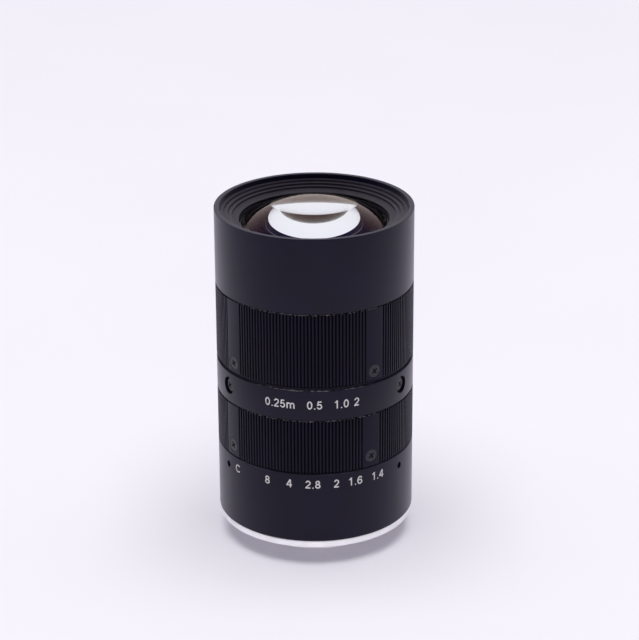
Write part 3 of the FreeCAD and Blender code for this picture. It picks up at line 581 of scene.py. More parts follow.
    def azimuth(self, place: bpy.types.NodeSocket) -> bpy.types.NodeSocket:
        """Azimuth in degrees of a place.

        Args:
            place: the place.

        Returns:
            The angle from -Y, positive towards +X.
        """
        measures = self.measures(place)
        back = self.maths("MULTIPLY", measures["Y"], -1.0)
        return self.maths("DEGREES", self.maths("ARCTAN2", measures["X"], back))


@dataclass(frozen=True)
class Finish:
    """Look of a surface; each kind of surface spells out its own inputs."""

    name: str

    def inputs(self, graph: Graph, place: bpy.types.NodeSocket) -> dict[str, object]:
        """Spell out the inputs of the shader.

        Args:
            graph: node tree of the material.
            place: place on the object.

        Returns:
            A value or a socket for each input, by its name.
        """
        raise NotImplementedError

    def material(self) -> bpy.types.Material:
        """Build the material."""
        graph = Graph.of_material(self.name)
        return graph.surface(self.inputs(graph, graph.place()))


@dataclass(frozen=True)
class SatinBlack(Finish):
    """Blasted and black anodised aluminium."""

    name: str = "satin_black"
    colour: Colour = (0.0018, 0.0014, 0.0084)
    cloud: float = 9.0 * MM
    cloud_range: Range = (0.35, 0.65)
    cloudiness: float = 0.22
    dust: Colour = (0.12, 0.115, 0.13)
    dust_spacing: float = 1.7 * MM
    dust_size: float = 0.055 * MM
    dusty: float = 0.05
    grain: float = 0.07 * MM
    grain_roughness: float = 0.6
    relief: float = 0.0018 * MM
    roughness: float = 0.37
    roughness_swing: float = 0.05
    specular: float = 0.23
    gloss_tint: Colour = (0.93, 0.87, 1.0)
    sheen: float = 0.16
    sheen_roughness: float = 0.35
    sheen_tint: Colour = (0.84, 0.74, 1.0)

    def tone(self, graph: Graph, place: bpy.types.NodeSocket) -> bpy.types.NodeSocket:
        """Colour of the surface, a little cloudy and with sparse dust.

        Args:
            graph: node tree of the material.
            place: place on the object.

        Returns:
            The colour.
        """
        cloud = graph.noise(place, self.cloud, detail=3.0)
        tone = graph.blend(graph.spread(cloud, within=self.cloud_range),
                           toned(self.colour, 1 - self.cloudiness),
                           toned(self.colour, 1 + self.cloudiness))
        dust = graph.specks(place, self.dust_spacing, self.dust_size, self.dusty)
        return graph.blend(dust, tone, self.dust)

    def gloss(self, graph: Graph, place: bpy.types.NodeSocket) -> float | bpy.types.NodeSocket:
        """Specular level of the surface."""
        return self.specular

    def inputs(self, graph: Graph, place: bpy.types.NodeSocket) -> dict[str, object]:
        """Spell out the inputs of the shader.

        Args:
            graph: node tree of the material.
            place: place on the object.

        Returns:
            A value or a socket for each input, by its name.
        """
        grain = graph.noise(place, self.grain, detail=3.0, roughness=self.grain_roughness)
        return {
            "Base Color": self.tone(graph, place),
            "Roughness": graph.swing(grain, self.roughness, self.roughness_swing),
            "Specular IOR Level": self.gloss(graph, place),
            "Specular Tint": (*self.gloss_tint, 1.0),
            "Sheen Weight": self.sheen,
            "Sheen Roughness": self.sheen_roughness,
            "Sheen Tint": (*self.sheen_tint, 1.0),
            "Normal": graph.bump(grain, self.relief),
        }


@dataclass(frozen=True)
class WearAndHighlightBlack(SatinBlack):
    """Black anodised aluminium with a broken bright mark along one turned edge, which is a painted
    highlight and, on the middle ring, also rubbed wear.

    The mark is full round the azimuth of its middle, and its reach to both sides is in degrees.
    """

    name: str = "wear_and_highlight_black"
    edge_level: float = 0.0
    edge_height: float = 0.06 * MM
    edge_core: float = 0.3
    middle: float = -3.0
    reach: float = 42.0
    reach_core: float = 0.4
    patch: float = 0.9 * MM
    patch_detail: float = 5.0
    patch_roughness: float = 0.7
    patch_range: Range = (0.42, 0.62)
    wear_and_highlight: Colour = (0.2, 0.185, 0.2)

    def unmarked(self, graph: Graph, place: bpy.types.NodeSocket) -> bpy.types.NodeSocket:
        """Colour of the surface under the bright mark on its edge."""
        return super().tone(graph, place)

    def tone(self, graph: Graph, place: bpy.types.NodeSocket) -> bpy.types.NodeSocket:
        """Colour of the surface, with a broken bright mark painted on the edge: a painted
        highlight, on the middle ring partly rubbed wear.

        Args:
            graph: node tree of the material.
            place: place on the object.

        Returns:
            The colour.
        """
        level = graph.measures(place)["Z"]
        on_edge = graph.near(level, self.edge_level, self.edge_height, self.edge_core)
        in_front = graph.near(graph.azimuth(place), self.middle, self.reach, self.reach_core)
        patches = graph.noise(place, self.patch, self.patch_detail, self.patch_roughness)
        broken = graph.spread(patches, within=self.patch_range)
        # Painted highlight along the edge, on the middle ring partly rubbed wear, only round the
        # side that faces the camera.
        wear_and_highlight_mask = graph.maths("MULTIPLY", graph.maths("MULTIPLY", on_edge, in_front), broken)
        return graph.blend(wear_and_highlight_mask, self.unmarked(graph, place), self.wear_and_highlight)


@dataclass(frozen=True)
class KnurlBlack(WearAndHighlightBlack):
    """Black of a knurled ring, with satin ribs and pads, painted glints on the rib tips of its top
    edge and painted shade in the grooves.
    """

    name: str = "knurl_black"
    specular: float = 0.16
    dusty: float = 0.12
    # The bright edge mark of a knurled ring is painted glints on the rib tips of its top chamfer.
    edge_height: float = 0.1 * MM
    reach: float = 60.0
    patch: float = 0.5 * MM
    wear_and_highlight: Colour = (0.16, 0.15, 0.17)
    rim: float = 19.5 * MM
    rib_depth: float = 0.1 * MM
    rib_shoulder: float = 0.02 * MM
    # Near-black colour painted into the grooves as shade.
    painted_groove_shade: Colour = (0.0004, 0.0003, 0.0008)
    pit_specular: float = 0.03

    def on_rib(self, graph: Graph, place: bpy.types.NodeSocket) -> bpy.types.NodeSocket:
        """Share of the rib's finish, from the distance to the axis."""
        return graph.ramp(graph.from_axis(place), self.rim - self.rib_depth,
                          self.rim - self.rib_shoulder)

    def unmarked(self, graph: Graph, place: bpy.types.NodeSocket) -> bpy.types.NodeSocket:
        """Colour of the surface under its painted edge glints, with painted shade darkening the
        grooves.
        """
        return graph.blend(self.on_rib(graph, place), self.painted_groove_shade, super().unmarked(graph, place))

    def gloss(self, graph: Graph, place: bpy.types.NodeSocket) -> bpy.types.NodeSocket:
        """Specular level of the surface, lower in the grooves.

        Args:
            graph: node tree of the material.
            place: place on the object.

        Returns:
            The level.
        """
        share = graph.maths("MULTIPLY", self.on_rib(graph, place),
                            self.specular - self.pit_specular)
        return graph.maths("ADD", share, self.pit_specular)


@dataclass(frozen=True)
class MattBlack(Finish):
    """Matt black of inner walls and bezels, with fine turned lines."""

    name: str = "matt_black"
    colour: Colour = (0.012, 0.011, 0.014)
    cloud: float = 2.5 * MM
    shade: float = 0.75
    roughness: float = 0.55
    roughness_swing: float = 0.06
    specular: float = 0.3
    line: float = 0.06 * MM
    relief: float = 0.002 * MM

    def inputs(self, graph: Graph, place: bpy.types.NodeSocket) -> dict[str, object]:
        """Spell out the inputs of the shader.

        Args:
            graph: node tree of the material.
            place: place on the object.

        Returns:
            A value or a socket for each input, by its name.
        """
        lines = graph.noise(graph.turn_place(place), self.line, detail=2.0)
        cloud = graph.spread(graph.noise(place, self.cloud))
        return {
            "Base Color": graph.blend(cloud, toned(self.colour, self.shade), self.colour),
            "Roughness": graph.swing(lines, self.roughness, self.roughness_swing),
            "Specular IOR Level": self.specular,
            "Normal": graph.bump(lines, self.relief),
        }


@dataclass(frozen=True)
class BrightMetal(Finish):
    """Bright turned metal with fine lines along the turn."""

    name: str = "bright_plate"
    colour: Colour = (0.96, 0.94, 0.98)
    cloud: float = 3.0 * MM
    shade: float = 0.9
    metallic: float = 0.3
    roughness: float = 0.36
    roughness_swing: float = 0.07
    stretch: float = 0.5
    line: float = 0.05 * MM
    line_roughness: float = 0.65
    relief: float = 0.0012 * MM

    def inputs(self, graph: Graph, place: bpy.types.NodeSocket) -> dict[str, object]:
        """Spell out the inputs of the shader.

        Args:
            graph: node tree of the material.
            place: place on the object.

        Returns:
            A value or a socket for each input, by its name.
        """
        lines = graph.noise(graph.turn_place(place), self.line, detail=4.0,
                            roughness=self.line_roughness)
        cloud = graph.spread(graph.noise(place, self.cloud, detail=4.0))
        tangent = graph.add("ShaderNodeTangent", direction_type="RADIAL", axis="Z")
        return {
            "Base Color": graph.blend(cloud, toned(self.colour, self.shade), self.colour),
            "Metallic": self.metallic,
            "Roughness": graph.swing(lines, self.roughness, self.roughness_swing),
            "Anisotropic": self.stretch,
            "Tangent": tangent.outputs["Tangent"],
            "Normal": graph.bump(lines, self.relief),
        }


@dataclass(frozen=True)
class BlackSteel(Finish):
    """Blackened steel of screws and blades."""

    name: str = "black_steel"
    colour: Colour = (0.014, 0.0125, 0.018)
    light: float = 1.5
    light_range: Range = (0.4, 0.7)
    metallic: float = 0.35
    roughness: float = 0.38
    roughness_swing: float = 0.08
    grain: float = 0.12 * MM
    relief: float = 0.002 * MM

    def inputs(self, graph: Graph, place: bpy.types.NodeSocket) -> dict[str, object]:
        """Spell out the inputs of the shader.

        Args:
            graph: node tree of the material.
            place: place on the object.

        Returns:
            A value or a socket for each input, by its name.
        """
        grain = graph.noise(place, self.grain, detail=3.0)
        lit = graph.spread(grain, within=self.light_range)
        return {
            "Base Color": graph.blend(lit, self.colour, toned(self.colour, self.light)),
            "Metallic": self.metallic,
            "Roughness": graph.swing(grain, self.roughness, self.roughness_swing),
            "Normal": graph.bump(grain, self.relief),
        }


@dataclass(frozen=True)
class DullBrass(Finish):
    """Blackened brass of the iris cam."""

    name: str = "black_brass"
    colour: Colour = (0.05, 0.042, 0.03)
    cloud: float = 1.5 * MM
    shade: float = 0.6
    metallic: float = 0.8
    roughness: Range = (0.4, 0.55)

    def inputs(self, graph: Graph, place: bpy.types.NodeSocket) -> dict[str, object]:
        """Spell out the inputs of the shader.

        Args:
            graph: node tree of the material.
            place: place on the object.

        Returns:
            A value or a socket for each input, by its name.
        """
        cloud = graph.spread(graph.noise(place, self.cloud, detail=3.0))
        return {
            "Base Color": graph.blend(cloud, toned(self.colour, self.shade), self.colour),
            "Metallic": self.metallic,
            "Roughness": graph.ramp(cloud, 0.0, 1.0, *self.roughness),
        }


@dataclass(frozen=True)
class NumberPaint(Finish):
    """Pale paint of the numbers."""

    name: str = "number_paint"
    colour: Colour = (0.56, 0.54, 0.55)
    worn: Colour = (0.3, 0.29, 0.3)
    grain: float = 0.16 * MM
    wear_range: Range = (0.42, 0.7)
    roughness: Range = (0.5, 0.65)
    specular: float = 0.3

    def inputs(self, graph: Graph, place: bpy.types.NodeSocket) -> dict[str, object]:
        """Spell out the inputs of the shader.

        Args:
            graph: node tree of the material.
            place: place on the object.

        Returns:
            A value or a socket for each input, by its name.
        """
        grain = graph.noise(place, self.grain, detail=3.0)
        wear = graph.spread(grain, within=self.wear_range)
        return {
            "Base Color": graph.blend(wear, self.colour, self.worn),
            "Roughness": graph.ramp(wear, 0.0, 1.0, *self.roughness),
            "Specular IOR Level": self.specular,
        }


@dataclass(frozen=True)
class LensGlass(Finish):
    """Polished glass with a thin coating, whose thickness is in nanometres."""

    name: str = "lens_glass"
    index: float = 1.85
    coating: float = 118.0
    coating_index: float = 1.38
    tint: Colour = (0.99, 0.995, 0.99)
    haze: float = 4.0 * MM
    shade: float = 0.985

    def inputs(self, graph: Graph, place: bpy.types.NodeSocket) -> dict[str, object]:
        """Spell out the inputs of the shader.

        Args:
            graph: node tree of the material.
            place: place on the object.

        Returns:
            A value or a socket for each input, by its name.
        """
        haze = graph.spread(graph.noise(place, self.haze))
        return {
            "Base Color": graph.blend(haze, toned(self.tint, self.shade), self.tint),
            "Roughness": 0.0,
            "IOR": self.index,
            "Transmission Weight": 1.0,
            "Thin Film Thickness": self.coating,
            "Thin Film IOR": self.coating_index,
        }


@dataclass(frozen=True)
class EdgePaint(Finish):
    """Dull black paint on the ground edge of a glass."""

    name: str = "edge_paint"
    colour: Colour = (0.01, 0.01, 0.01)
    light: float = 1.6
    grain: float = 0.2 * MM
    roughness: float = 0.8
    specular: float = 0.2

    def inputs(self, graph: Graph, place: bpy.types.NodeSocket) -> dict[str, object]:
        """Spell out the inputs of the shader.

        Args:
            graph: node tree of the material.
            place: place on the object.

        Returns:
            A value or a socket for each input, by its name.
        """
        grain = graph.noise(place, self.grain)
        return {
            "Base Color": graph.blend(grain, self.colour, toned(self.colour, self.light)),
            "Roughness": self.roughness,
            "Specular IOR Level": self.specular,
        }


@dataclass(frozen=True)
class GroundEdge(Finish):
    """Bare ground edge of a glass, pale like ground glass, with streaks of reflection painted on
    it.
    """

    name: str = "ground_edge"
    colour: Colour = (0.82, 0.78, 0.80)
    shade: Colour = (0.20, 0.17, 0.19)
    reflection_streak: float = 2.4 * MM
    reflection_streak_range: Range = (0.4, 0.6)
    metallic: float = 0.3
    roughness: Range = (0.35, 0.5)

    def inputs(self, graph: Graph, place: bpy.types.NodeSocket) -> dict[str, object]:
        """Spell out the inputs of the shader.

        Args:
            graph: node tree of the material.
            place: place on the object.

        Returns:
            A value or a socket for each input, by its name.
        """
        painted_streaks = graph.noise(place, self.reflection_streak, detail=3.0)
        # Painted reflection: streaks of the pale colour across the dark shade colour.
        lit = graph.spread(painted_streaks, within=self.reflection_streak_range)
        return {
            "Base Color": graph.blend(lit, self.shade, self.colour),
            "Roughness": graph.spread(painted_streaks, *self.roughness),
            "Metallic": self.metallic,
        }


@dataclass
class Finishes:
    """The finishes that several pieces may share, each built once."""

    satin: bpy.types.Material = field(default_factory=SatinBlack().material)
    matt: bpy.types.Material = field(default_factory=MattBlack().material)
    bezel: bpy.types.Material = field(default_factory=MattBlack(
        name="bezel_black", colour=(0.02, 0.0165, 0.026), roughness=0.5).material)
    bright: bpy.types.Material = field(default_factory=BrightMetal().material)
    steel: bpy.types.Material = field(default_factory=BlackSteel().material)
    blade: bpy.types.Material = field(default_factory=BlackSteel(
        name="blade_steel", colour=(0.02, 0.019, 0.022), roughness=0.5).material)
    brass: bpy.types.Material = field(default_factory=DullBrass().material)
    paint: bpy.types.Material = field(default_factory=NumberPaint().material)
    glass: bpy.types.Material = field(default_factory=LensGlass().material)
    edge: bpy.types.Material = field(default_factory=EdgePaint().material)
    ground: bpy.types.Material = field(default_factory=GroundEdge().material)


@dataclass(frozen=True)
class Mark:
    """Number on a ring, by what it says and the azimuth of its middle."""

    text: str
    azimuth: float


BOW_STEP = 12.0
DIGIT = 0.776
STROKE_SINK = 0.03
ELLIPSE_TOP = 90.0


def bow(middle: Point, radii: Point, start: float = ELLIPSE_TOP,
        end: float = ELLIPSE_TOP + FULL_TURN) -> tuple[Point, ...]:
    """Points along a part of an ellipse, or all round it from its top.

    Args:
        middle: middle of the ellipse.
        radii: its half width and half height.
        start: angle of the first point, from the right and anticlockwise.
        end: angle of the last point.

    Returns:
        The points, in steps of about twelve degrees.
    """
    steps = max(2, round(abs(end - start) / BOW_STEP))
    angles = (math.radians(start + (end - start) * index / steps) for index in range(steps + 1))
    return tuple((middle[0] + radii[0] * math.cos(angle), middle[1] + radii[1] * math.sin(angle))
                 for angle in angles)


@dataclass(frozen=True)
class Glyph:
    """Character of strokes with one width, with all its lengths in digit heights."""

    advance: float
    strokes: tuple[tuple[Point, ...], ...]

    def ribbon(self, work: bmesh.types.BMesh, stroke: Sequence[Point], shift: float,
               weight: float, sink: float) -> None:
        """Add one stroke as a flat solid.

        Args:
            work: mesh that takes it.
            stroke: middle line of the stroke.
            shift: distance by which the character is moved to the right.
            weight: width of the stroke.
            sink: depth of its face below that of the first stroke, so that none share a plane.
        """
        rows = []
        last = len(stroke) - 1
        for index, (across, up) in enumerate(stroke):
            before, after = stroke[max(index - 1, 0)], stroke[min(index + 1, last)]
            ahead = Vector((after[0] - before[0], after[1] - before[1])).normalized()
            side = Vector((-ahead.y, ahead.x)) * weight / 2
            middle = Vector((across + shift, up))
            rows.append([work.verts.new((*(middle + side * hand), level))
                         for hand, level in ((1, -0.5), (1, 0.5 - sink), (-1, 0.5 - sink),
                                             (-1, -0.5))])
        for first, second in zip(rows, rows[1:]):
            for index in range(4):
                after = (index + 1) % 4
                work.faces.new((first[index], first[after], second[after], second[index]))
        work.faces.new(rows[0][::-1])
        work.faces.new(rows[-1])

    def draw(self, work: bmesh.types.BMesh, shift: float, weight: float) -> None:
        """Add all strokes of the character."""
        for index, stroke in enumerate(self.strokes):
            self.ribbon(work, stroke, shift, weight, STROKE_SINK * index)


GLYPHS: dict[str, Glyph] = {
    "0": Glyph(DIGIT, (bow((0.385, 0.5), (0.245, 0.425)),)),
    "1": Glyph(DIGIT, (((0.45, 0.0), (0.45, 1.0)),
                       ((0.17, 0.73), (0.28, 0.79), (0.37, 0.87), (0.43, 0.97)))),
    "2": Glyph(DIGIT, (bow((0.385, 0.685), (0.235, 0.24), 172.0, -38.0)
                       + ((0.40, 0.36), (0.22, 0.20), (0.115, 0.06)),
                       ((0.06, 0.075), (0.66, 0.075)))),
    "4": Glyph(DIGIT, (((0.52, 0.0), (0.52, 1.0)), ((0.49, 0.96), (0.09, 0.32)),
                       ((0.04, 0.305), (0.71, 0.305)))),
    "5": Glyph(DIGIT, (((0.21, 0.925), (0.62, 0.925)), ((0.25, 0.96), (0.165, 0.45)),
                       bow((0.375, 0.335), (0.25, 0.26), 142.0, -165.0))),
    "6": Glyph(DIGIT, (bow((0.39, 0.325), (0.245, 0.25)),
                       bow((0.42, 0.5), (0.29, 0.425), 38.0, 205.0))),
    "8": Glyph(DIGIT, (bow((0.385, 0.725), (0.2, 0.2)),
                       bow((0.385, 0.29), (0.245, 0.215)))),
    ".": Glyph(DIGIT / 2, (((0.195, 0.0), (0.195, 0.14)),)),
    "m": Glyph(1.163, (((0.165, 0.0), (0.165, 0.725)),
                       bow((0.3725, 0.44), (0.2075, 0.215), 180.0, 0.0) + ((0.58, 0.0),),
                       bow((0.7875, 0.44), (0.2075, 0.215), 180.0, 0.0) + ((0.995, 0.0),))),
    "C": Glyph(1.008, (bow((0.51, 0.5), (0.4, 0.425), 40.0, 320.0),)),
}


@dataclass(frozen=True)
class Printing:
    """Numbers that are filled with paint on the outside of a ring."""

    height: float = 1.7 * MM
    weight: float = 0.155
    narrowing: float = 0.96
    thickness: float = 0.03 * MM
    proud: float = 0.006 * MM
    slice_width: float = 0.25 * MM

    def glyphs(self, text: str) -> bmesh.types.BMesh:
        """Draw a text about its middle as a flat solid, with digits one unit high.

        Args:
            text: what it says.

        Returns:
            The flat text.
        """
        work = bmesh.new()
        shift = -sum(GLYPHS[letter].advance for letter in text) / 2
        for letter in text:
            GLYPHS[letter].draw(work, shift, self.weight)
            shift += GLYPHS[letter].advance
        return work

    def wrapped(self, mark: Mark, radius: float, level: float) -> bmesh.types.BMesh:
        """Bend one number round the ring.

        Args:
            mark: what it says and where.
            radius: radius of the ring.
            level: height of the number's middle.

        Returns:
            The number as a curved solid.
        """
        work = self.glyphs(mark.text)
        wide = self.height * self.narrowing
        work.transform(Matrix.Diagonal((wide, self.height, self.thickness, 1.0)))
        work.transform(Matrix.Translation((0.0, -self.height / 2, 0.0)))
        edge = max(vertex.co.x for vertex in work.verts)
        cuts = int(2 * edge / self.slice_width)
        for index in range(1, cuts):
            place = Vector((2 * edge * index / cuts - edge, 0.0, 0.0))
            everything = [*work.verts, *work.edges, *work.faces]
            bmesh.ops.bisect_plane(work, geom=everything, plane_co=place, plane_no=(1, 0, 0))
        face = radius + self.proud - self.thickness / 2
        for vertex in work.verts:
            azimuth = mark.azimuth + math.degrees(vertex.co.x / radius)
            vertex.co = on_turn(azimuth, face + vertex.co.z, level + vertex.co.y)
        return work

    def build(self, name: str, marks: Sequence[Mark], radius: float,
              level: float) -> bpy.types.Object:
        """Make all numbers of one ring as one object.

        Args:
            name: name of the object.
            marks: the numbers.
            radius: radius of the ring.
            level: height of the numbers' middle.

        Returns:
            The object.
        """
        parts = [(self.wrapped(mark, radius, level), Matrix.Identity(4)) for mark in marks]
        return gathered(name, parts)


@dataclass(frozen=True)
class CrossScrew:
    """Screw head with a tapered cross recess, seen from outside."""

    radius: float = 1.35 * MM
    height: float = 0.5 * MM
    crown: float = 0.0
    bevel: float = 0.06 * MM
    cross_span: float = 1.5 * MM
    cross_width: float = 0.34 * MM
    cross_depth: float = 0.4 * MM
    taper: float = 0.55
    tightened: float = 36.0
    crown_steps: int = 6
    segments: int = 64

    def head(self) -> bmesh.types.BMesh:
        """Head with its outer face at the origin and its axis along z.

        Returns:
            The head as a closed mesh.
        """
        flat = self.radius - self.bevel
        shares = [step / self.crown_steps for step in range(self.crown_steps + 1)]
        top = [(flat * share, -self.crown * share ** 2) for share in shares]
        rim = -self.crown - self.bevel
        section = top + [(self.radius, rim), (self.radius, -self.height), (0.0, -self.height)]
        return turned_mesh(section, self.segments)

    def cross(self) -> bmesh.types.BMesh:
        """Tapered cross that cuts the recess.

        Returns:
            The cross as a closed mesh.
        """
        half, arm = self.cross_width / 2, self.cross_span / 2
        outline = [(arm, -half), (arm, half), (half, half), (half, arm), (-half, arm),
                   (-half, half), (-arm, half), (-arm, -half), (-half, -half), (-half, -arm),
                   (half, -arm), (half, -half)]
        work = bmesh.new()
        loops = []
        for level, share in ((self.bevel, 1.0), (-self.cross_depth, self.taper)):
            loops.append([work.verts.new((x * share, y * share, level)) for x, y in outline])
        join_loops(work, *loops)
        for loop in loops:
            work.faces.new(loop)
        return work

    def build(self, name: str, seats: Sequence[Matrix]) -> bpy.types.Object:
        """Make one screw and set a copy in each seat.

        Args:
            name: name of the object.
            seats: frame of each screw, with its origin at the middle of the head's face.

        Returns:
            All the screws as one object.
        """
        pattern = finished(name, self.head())
        carve(pattern, finished(f"{name}_cross", self.cross()))
        turn = Matrix.Rotation(math.radians(self.tightened), 4, "Z")
        return repeated(name, pattern, [seat @ turn for seat in seats])


@dataclass(frozen=True)
class Drill:
    """Round hole with a broken edge, cut into the side of a ring."""

    radius: float
    depth: float
    edge: float = 0.05 * MM
    over: float = 0.3 * MM
    segments: int = 96

    def cutter(self, name: str, seats: Sequence[Matrix]) -> bpy.types.Object:
        """Make one cutter for several holes.

        Args:
            name: name of the cutter.
            seats: frame of each hole, with its origin on the ring's surface.

        Returns:
            The cutter.
        """
        section = [(0.0, self.over), (self.radius + self.edge + self.over, self.over),
                   (self.radius, -self.edge), (self.radius, -self.depth), (0.0, -self.depth)]
        parts = [(turned_mesh(section, self.segments), seat) for seat in seats]
        return gathered(name, parts)


@dataclass
class MountFlange:
    """Bright mount with its thread, flange and spigot."""

    finishes: Finishes
    node: str = "mount_flange"
    bore: float = 11.6 * MM
    thread_radius: float = 12.7 * MM
    thread_length: float = 4.0 * MM
    thread_pitch: float = 25.4 / 32 * MM
    thread_depth: float = 0.46 * MM
    flank_slope: float = 2.6
    crest_share: float = 0.15
    lead_in: float = 0.4 * MM
    relief_radius: float = 12.2 * MM
    relief_height: float = 0.8 * MM
    recess_radius: float = 13.1 * MM
    recess_depth: float = 0.15 * MM
    flange_height: float = 1.4 * MM
    bevel: float = 0.2 * MM
    fillet: float = 0.05 * MM
    spigot_radius: float = 16.7 * MM
    steps_per_turn: int = 360
    rows_per_pitch: int = 12

    def thread_rows(self) -> Iterator[Sequence[Point]]:
        """Points of the thread, one row after another, each row climbing one pitch.

        Returns:
            The rows, each with one point for every step of the turn.
        """
        end = self.thread_length - self.relief_height
        rows = int((end / self.thread_pitch + 1) * self.rows_per_pitch)
        for row in range(rows + 1):
            climb = (row / self.rows_per_pitch - 1) * self.thread_pitch
            yield [self.thread_point(climb, step / self.steps_per_turn, end)
                   for step in range(self.steps_per_turn)]

    def thread_point(self, climb: float, share: float, end: float) -> Point:
        """Radius and level of one point of the thread.

        Args:
            climb: level of the row where the turn starts.
            share: how far round the turn the point is.
            end: level where the thread stops.

        Returns:
            The radius and level of the point.
        """
        level = min(max(climb + share * self.thread_pitch, 0.0), end)
        phase = (level / self.thread_pitch - share) % 1.0
        flank = abs(phase - 0.5) * self.flank_slope - self.crest_share
        flank = min(max(flank, 0.0), 1.0)
        radius = self.thread_radius - self.thread_depth * flank
        start = self.thread_radius - self.lead_in + level
        finish = self.relief_radius + (end - level)
        return min(radius, start, max(finish, self.relief_radius)), level

    def build(self) -> None:
        """Build the mount and seat it."""
        span = Span.of(self.node)
        seat, shoulder = self.thread_length, self.thread_length + self.flange_height
        work = bmesh.new()
        loops = []
        for row in self.thread_rows():
            loops.append([work.verts.new(on_turn(FULL_TURN * step / self.steps_per_turn, *point))
                          for step, point in enumerate(row)])
        section = rounded([
            Corner(self.relief_radius, seat - self.relief_height),
            Corner(self.relief_radius, seat + self.recess_depth),
            Corner(self.recess_radius, seat + self.recess_depth),
            Corner(self.recess_radius, seat),
            Corner(span.radius, seat, self.fillet),
            Corner(span.radius, shoulder - self.bevel, self.fillet / 2),
            Corner(span.radius - self.bevel, shoulder, self.fillet / 2),
            Corner(self.spigot_radius, shoulder),
            Corner(self.spigot_radius, span.top),
            Corner(self.bore, span.top),
            Corner(self.bore, 0.0, self.fillet)])
        for radius, level in section[1:]:
            loops.append([work.verts.new(on_turn(azimuth, radius, level))
                          for azimuth in evenly(0.0, self.steps_per_turn)])
        for index, loop in enumerate(loops):
            join_loops(work, loop, loops[(index + 1) % len(loops)])
        bmesh.ops.remove_doubles(work, verts=work.verts, dist=TINY)
        bmesh.ops.dissolve_degenerate(work, edges=work.edges, dist=TINY)
        piece = finished("mount", work)
        dress(piece, self.finishes.bright)
        hand_over(piece, Body.FIXED, Slot.MOUNT, self.node)


@dataclass
class ScaleRing:
    """Smooth fixed ring with the aperture numbers and its grub screws."""

    finishes: Finishes
    node: str = "scale_ring"
    screw_node: str = "scale_ring_grub_screws"
    bore: float = 17.86 * MM
    edge: float = 0.15 * MM
    number_drop: float = 2.2 * MM
    screw_azimuth: float = 58.0
    screw_count: int = 3
    screw_drop: float = 2.5 * MM
    hole_radius: float = 0.65 * MM
    screw_sink: float = 0.35 * MM
    screw_gap: float = 0.03 * MM
    screw_height: float = 1.2 * MM
    screw_bevel: float = 0.1 * MM
    socket_radius: float = 0.36 * MM
    socket_depth: float = 0.5 * MM
    socket_sides: int = 6
    drill_over: float = 1.0 * MM
    # The bright edge mark here is a faint painted highlight line along the top edge.
    black: WearAndHighlightBlack = WearAndHighlightBlack(name="scale_black", reach=80.0, edge_height=0.1 * MM,
                                 patch=7.0 * MM, wear_and_highlight=(0.03, 0.026, 0.038))
    marks: tuple[Mark, ...] = (
        Mark("C", -51.8), Mark("8", -29.0), Mark("4", -15.4), Mark("2.8", -1.65),
        Mark("2", 12.0), Mark("1.6", 23.4), Mark("1.4", 38.6))

    def build(self) -> None:
        """Build the ring, its numbers and its grub screws."""
        span = Span.of(self.node)
        printing = Printing()
        radius = span.radius - printing.proud
        section = rounded([Corner(self.bore, span.bottom), Corner(radius, span.bottom, self.edge),
                           Corner(radius, span.top, self.edge), Corner(self.bore, span.top)])
        ring = finished("scale_ring_body", turned_mesh(section))
        level = span.top - self.screw_drop
        azimuths = evenly(self.screw_azimuth, self.screw_count)
        drill = Drill(self.hole_radius, radius - self.bore + self.drill_over)
        seats = [outward_frame(azimuth, radius, level) for azimuth in azimuths]
        carve(ring, drill.cutter("grub_drill", seats))
        dress(ring, replace(self.black, edge_level=span.top - self.edge).material())
        hand_over(ring, Body.FIXED, Slot.ANODISED, self.node)
        numbers = printing.build("aperture_numbers", self.marks, radius,
                                 span.top - self.number_drop)
        dress(numbers, self.finishes.paint)
        hand_over(numbers, Body.FIXED, Slot.ANODISED)
        screws = self.grub_screws([outward_frame(azimuth, radius - self.screw_sink, level)
                                   for azimuth in azimuths])
        dress(screws, self.finishes.steel)
        hand_over(screws, Body.FIXED, Slot.STEEL, self.screw_node)

    def grub_screws(self, seats: Sequence[Matrix]) -> bpy.types.Object:
        """Make the headless screws with their hexagon sockets.

        Args:
            seats: frame of each screw, with its origin at the middle of its face.

        Returns:
            All the screws as one object.
        """
        screw = CrossScrew(radius=self.hole_radius - self.screw_gap, height=self.screw_height,
                           bevel=self.screw_bevel)
        pattern = finished("grub_pattern", screw.head())
        socket = [(0.0, self.socket_depth), (self.socket_radius, self.socket_depth),
                  (self.socket_radius, -self.socket_depth), (0.0, -self.socket_depth)]
        carve(pattern, finished("hexagon", turned_mesh(socket, self.socket_sides)))
        return repeated("grub_screws", pattern, seats)


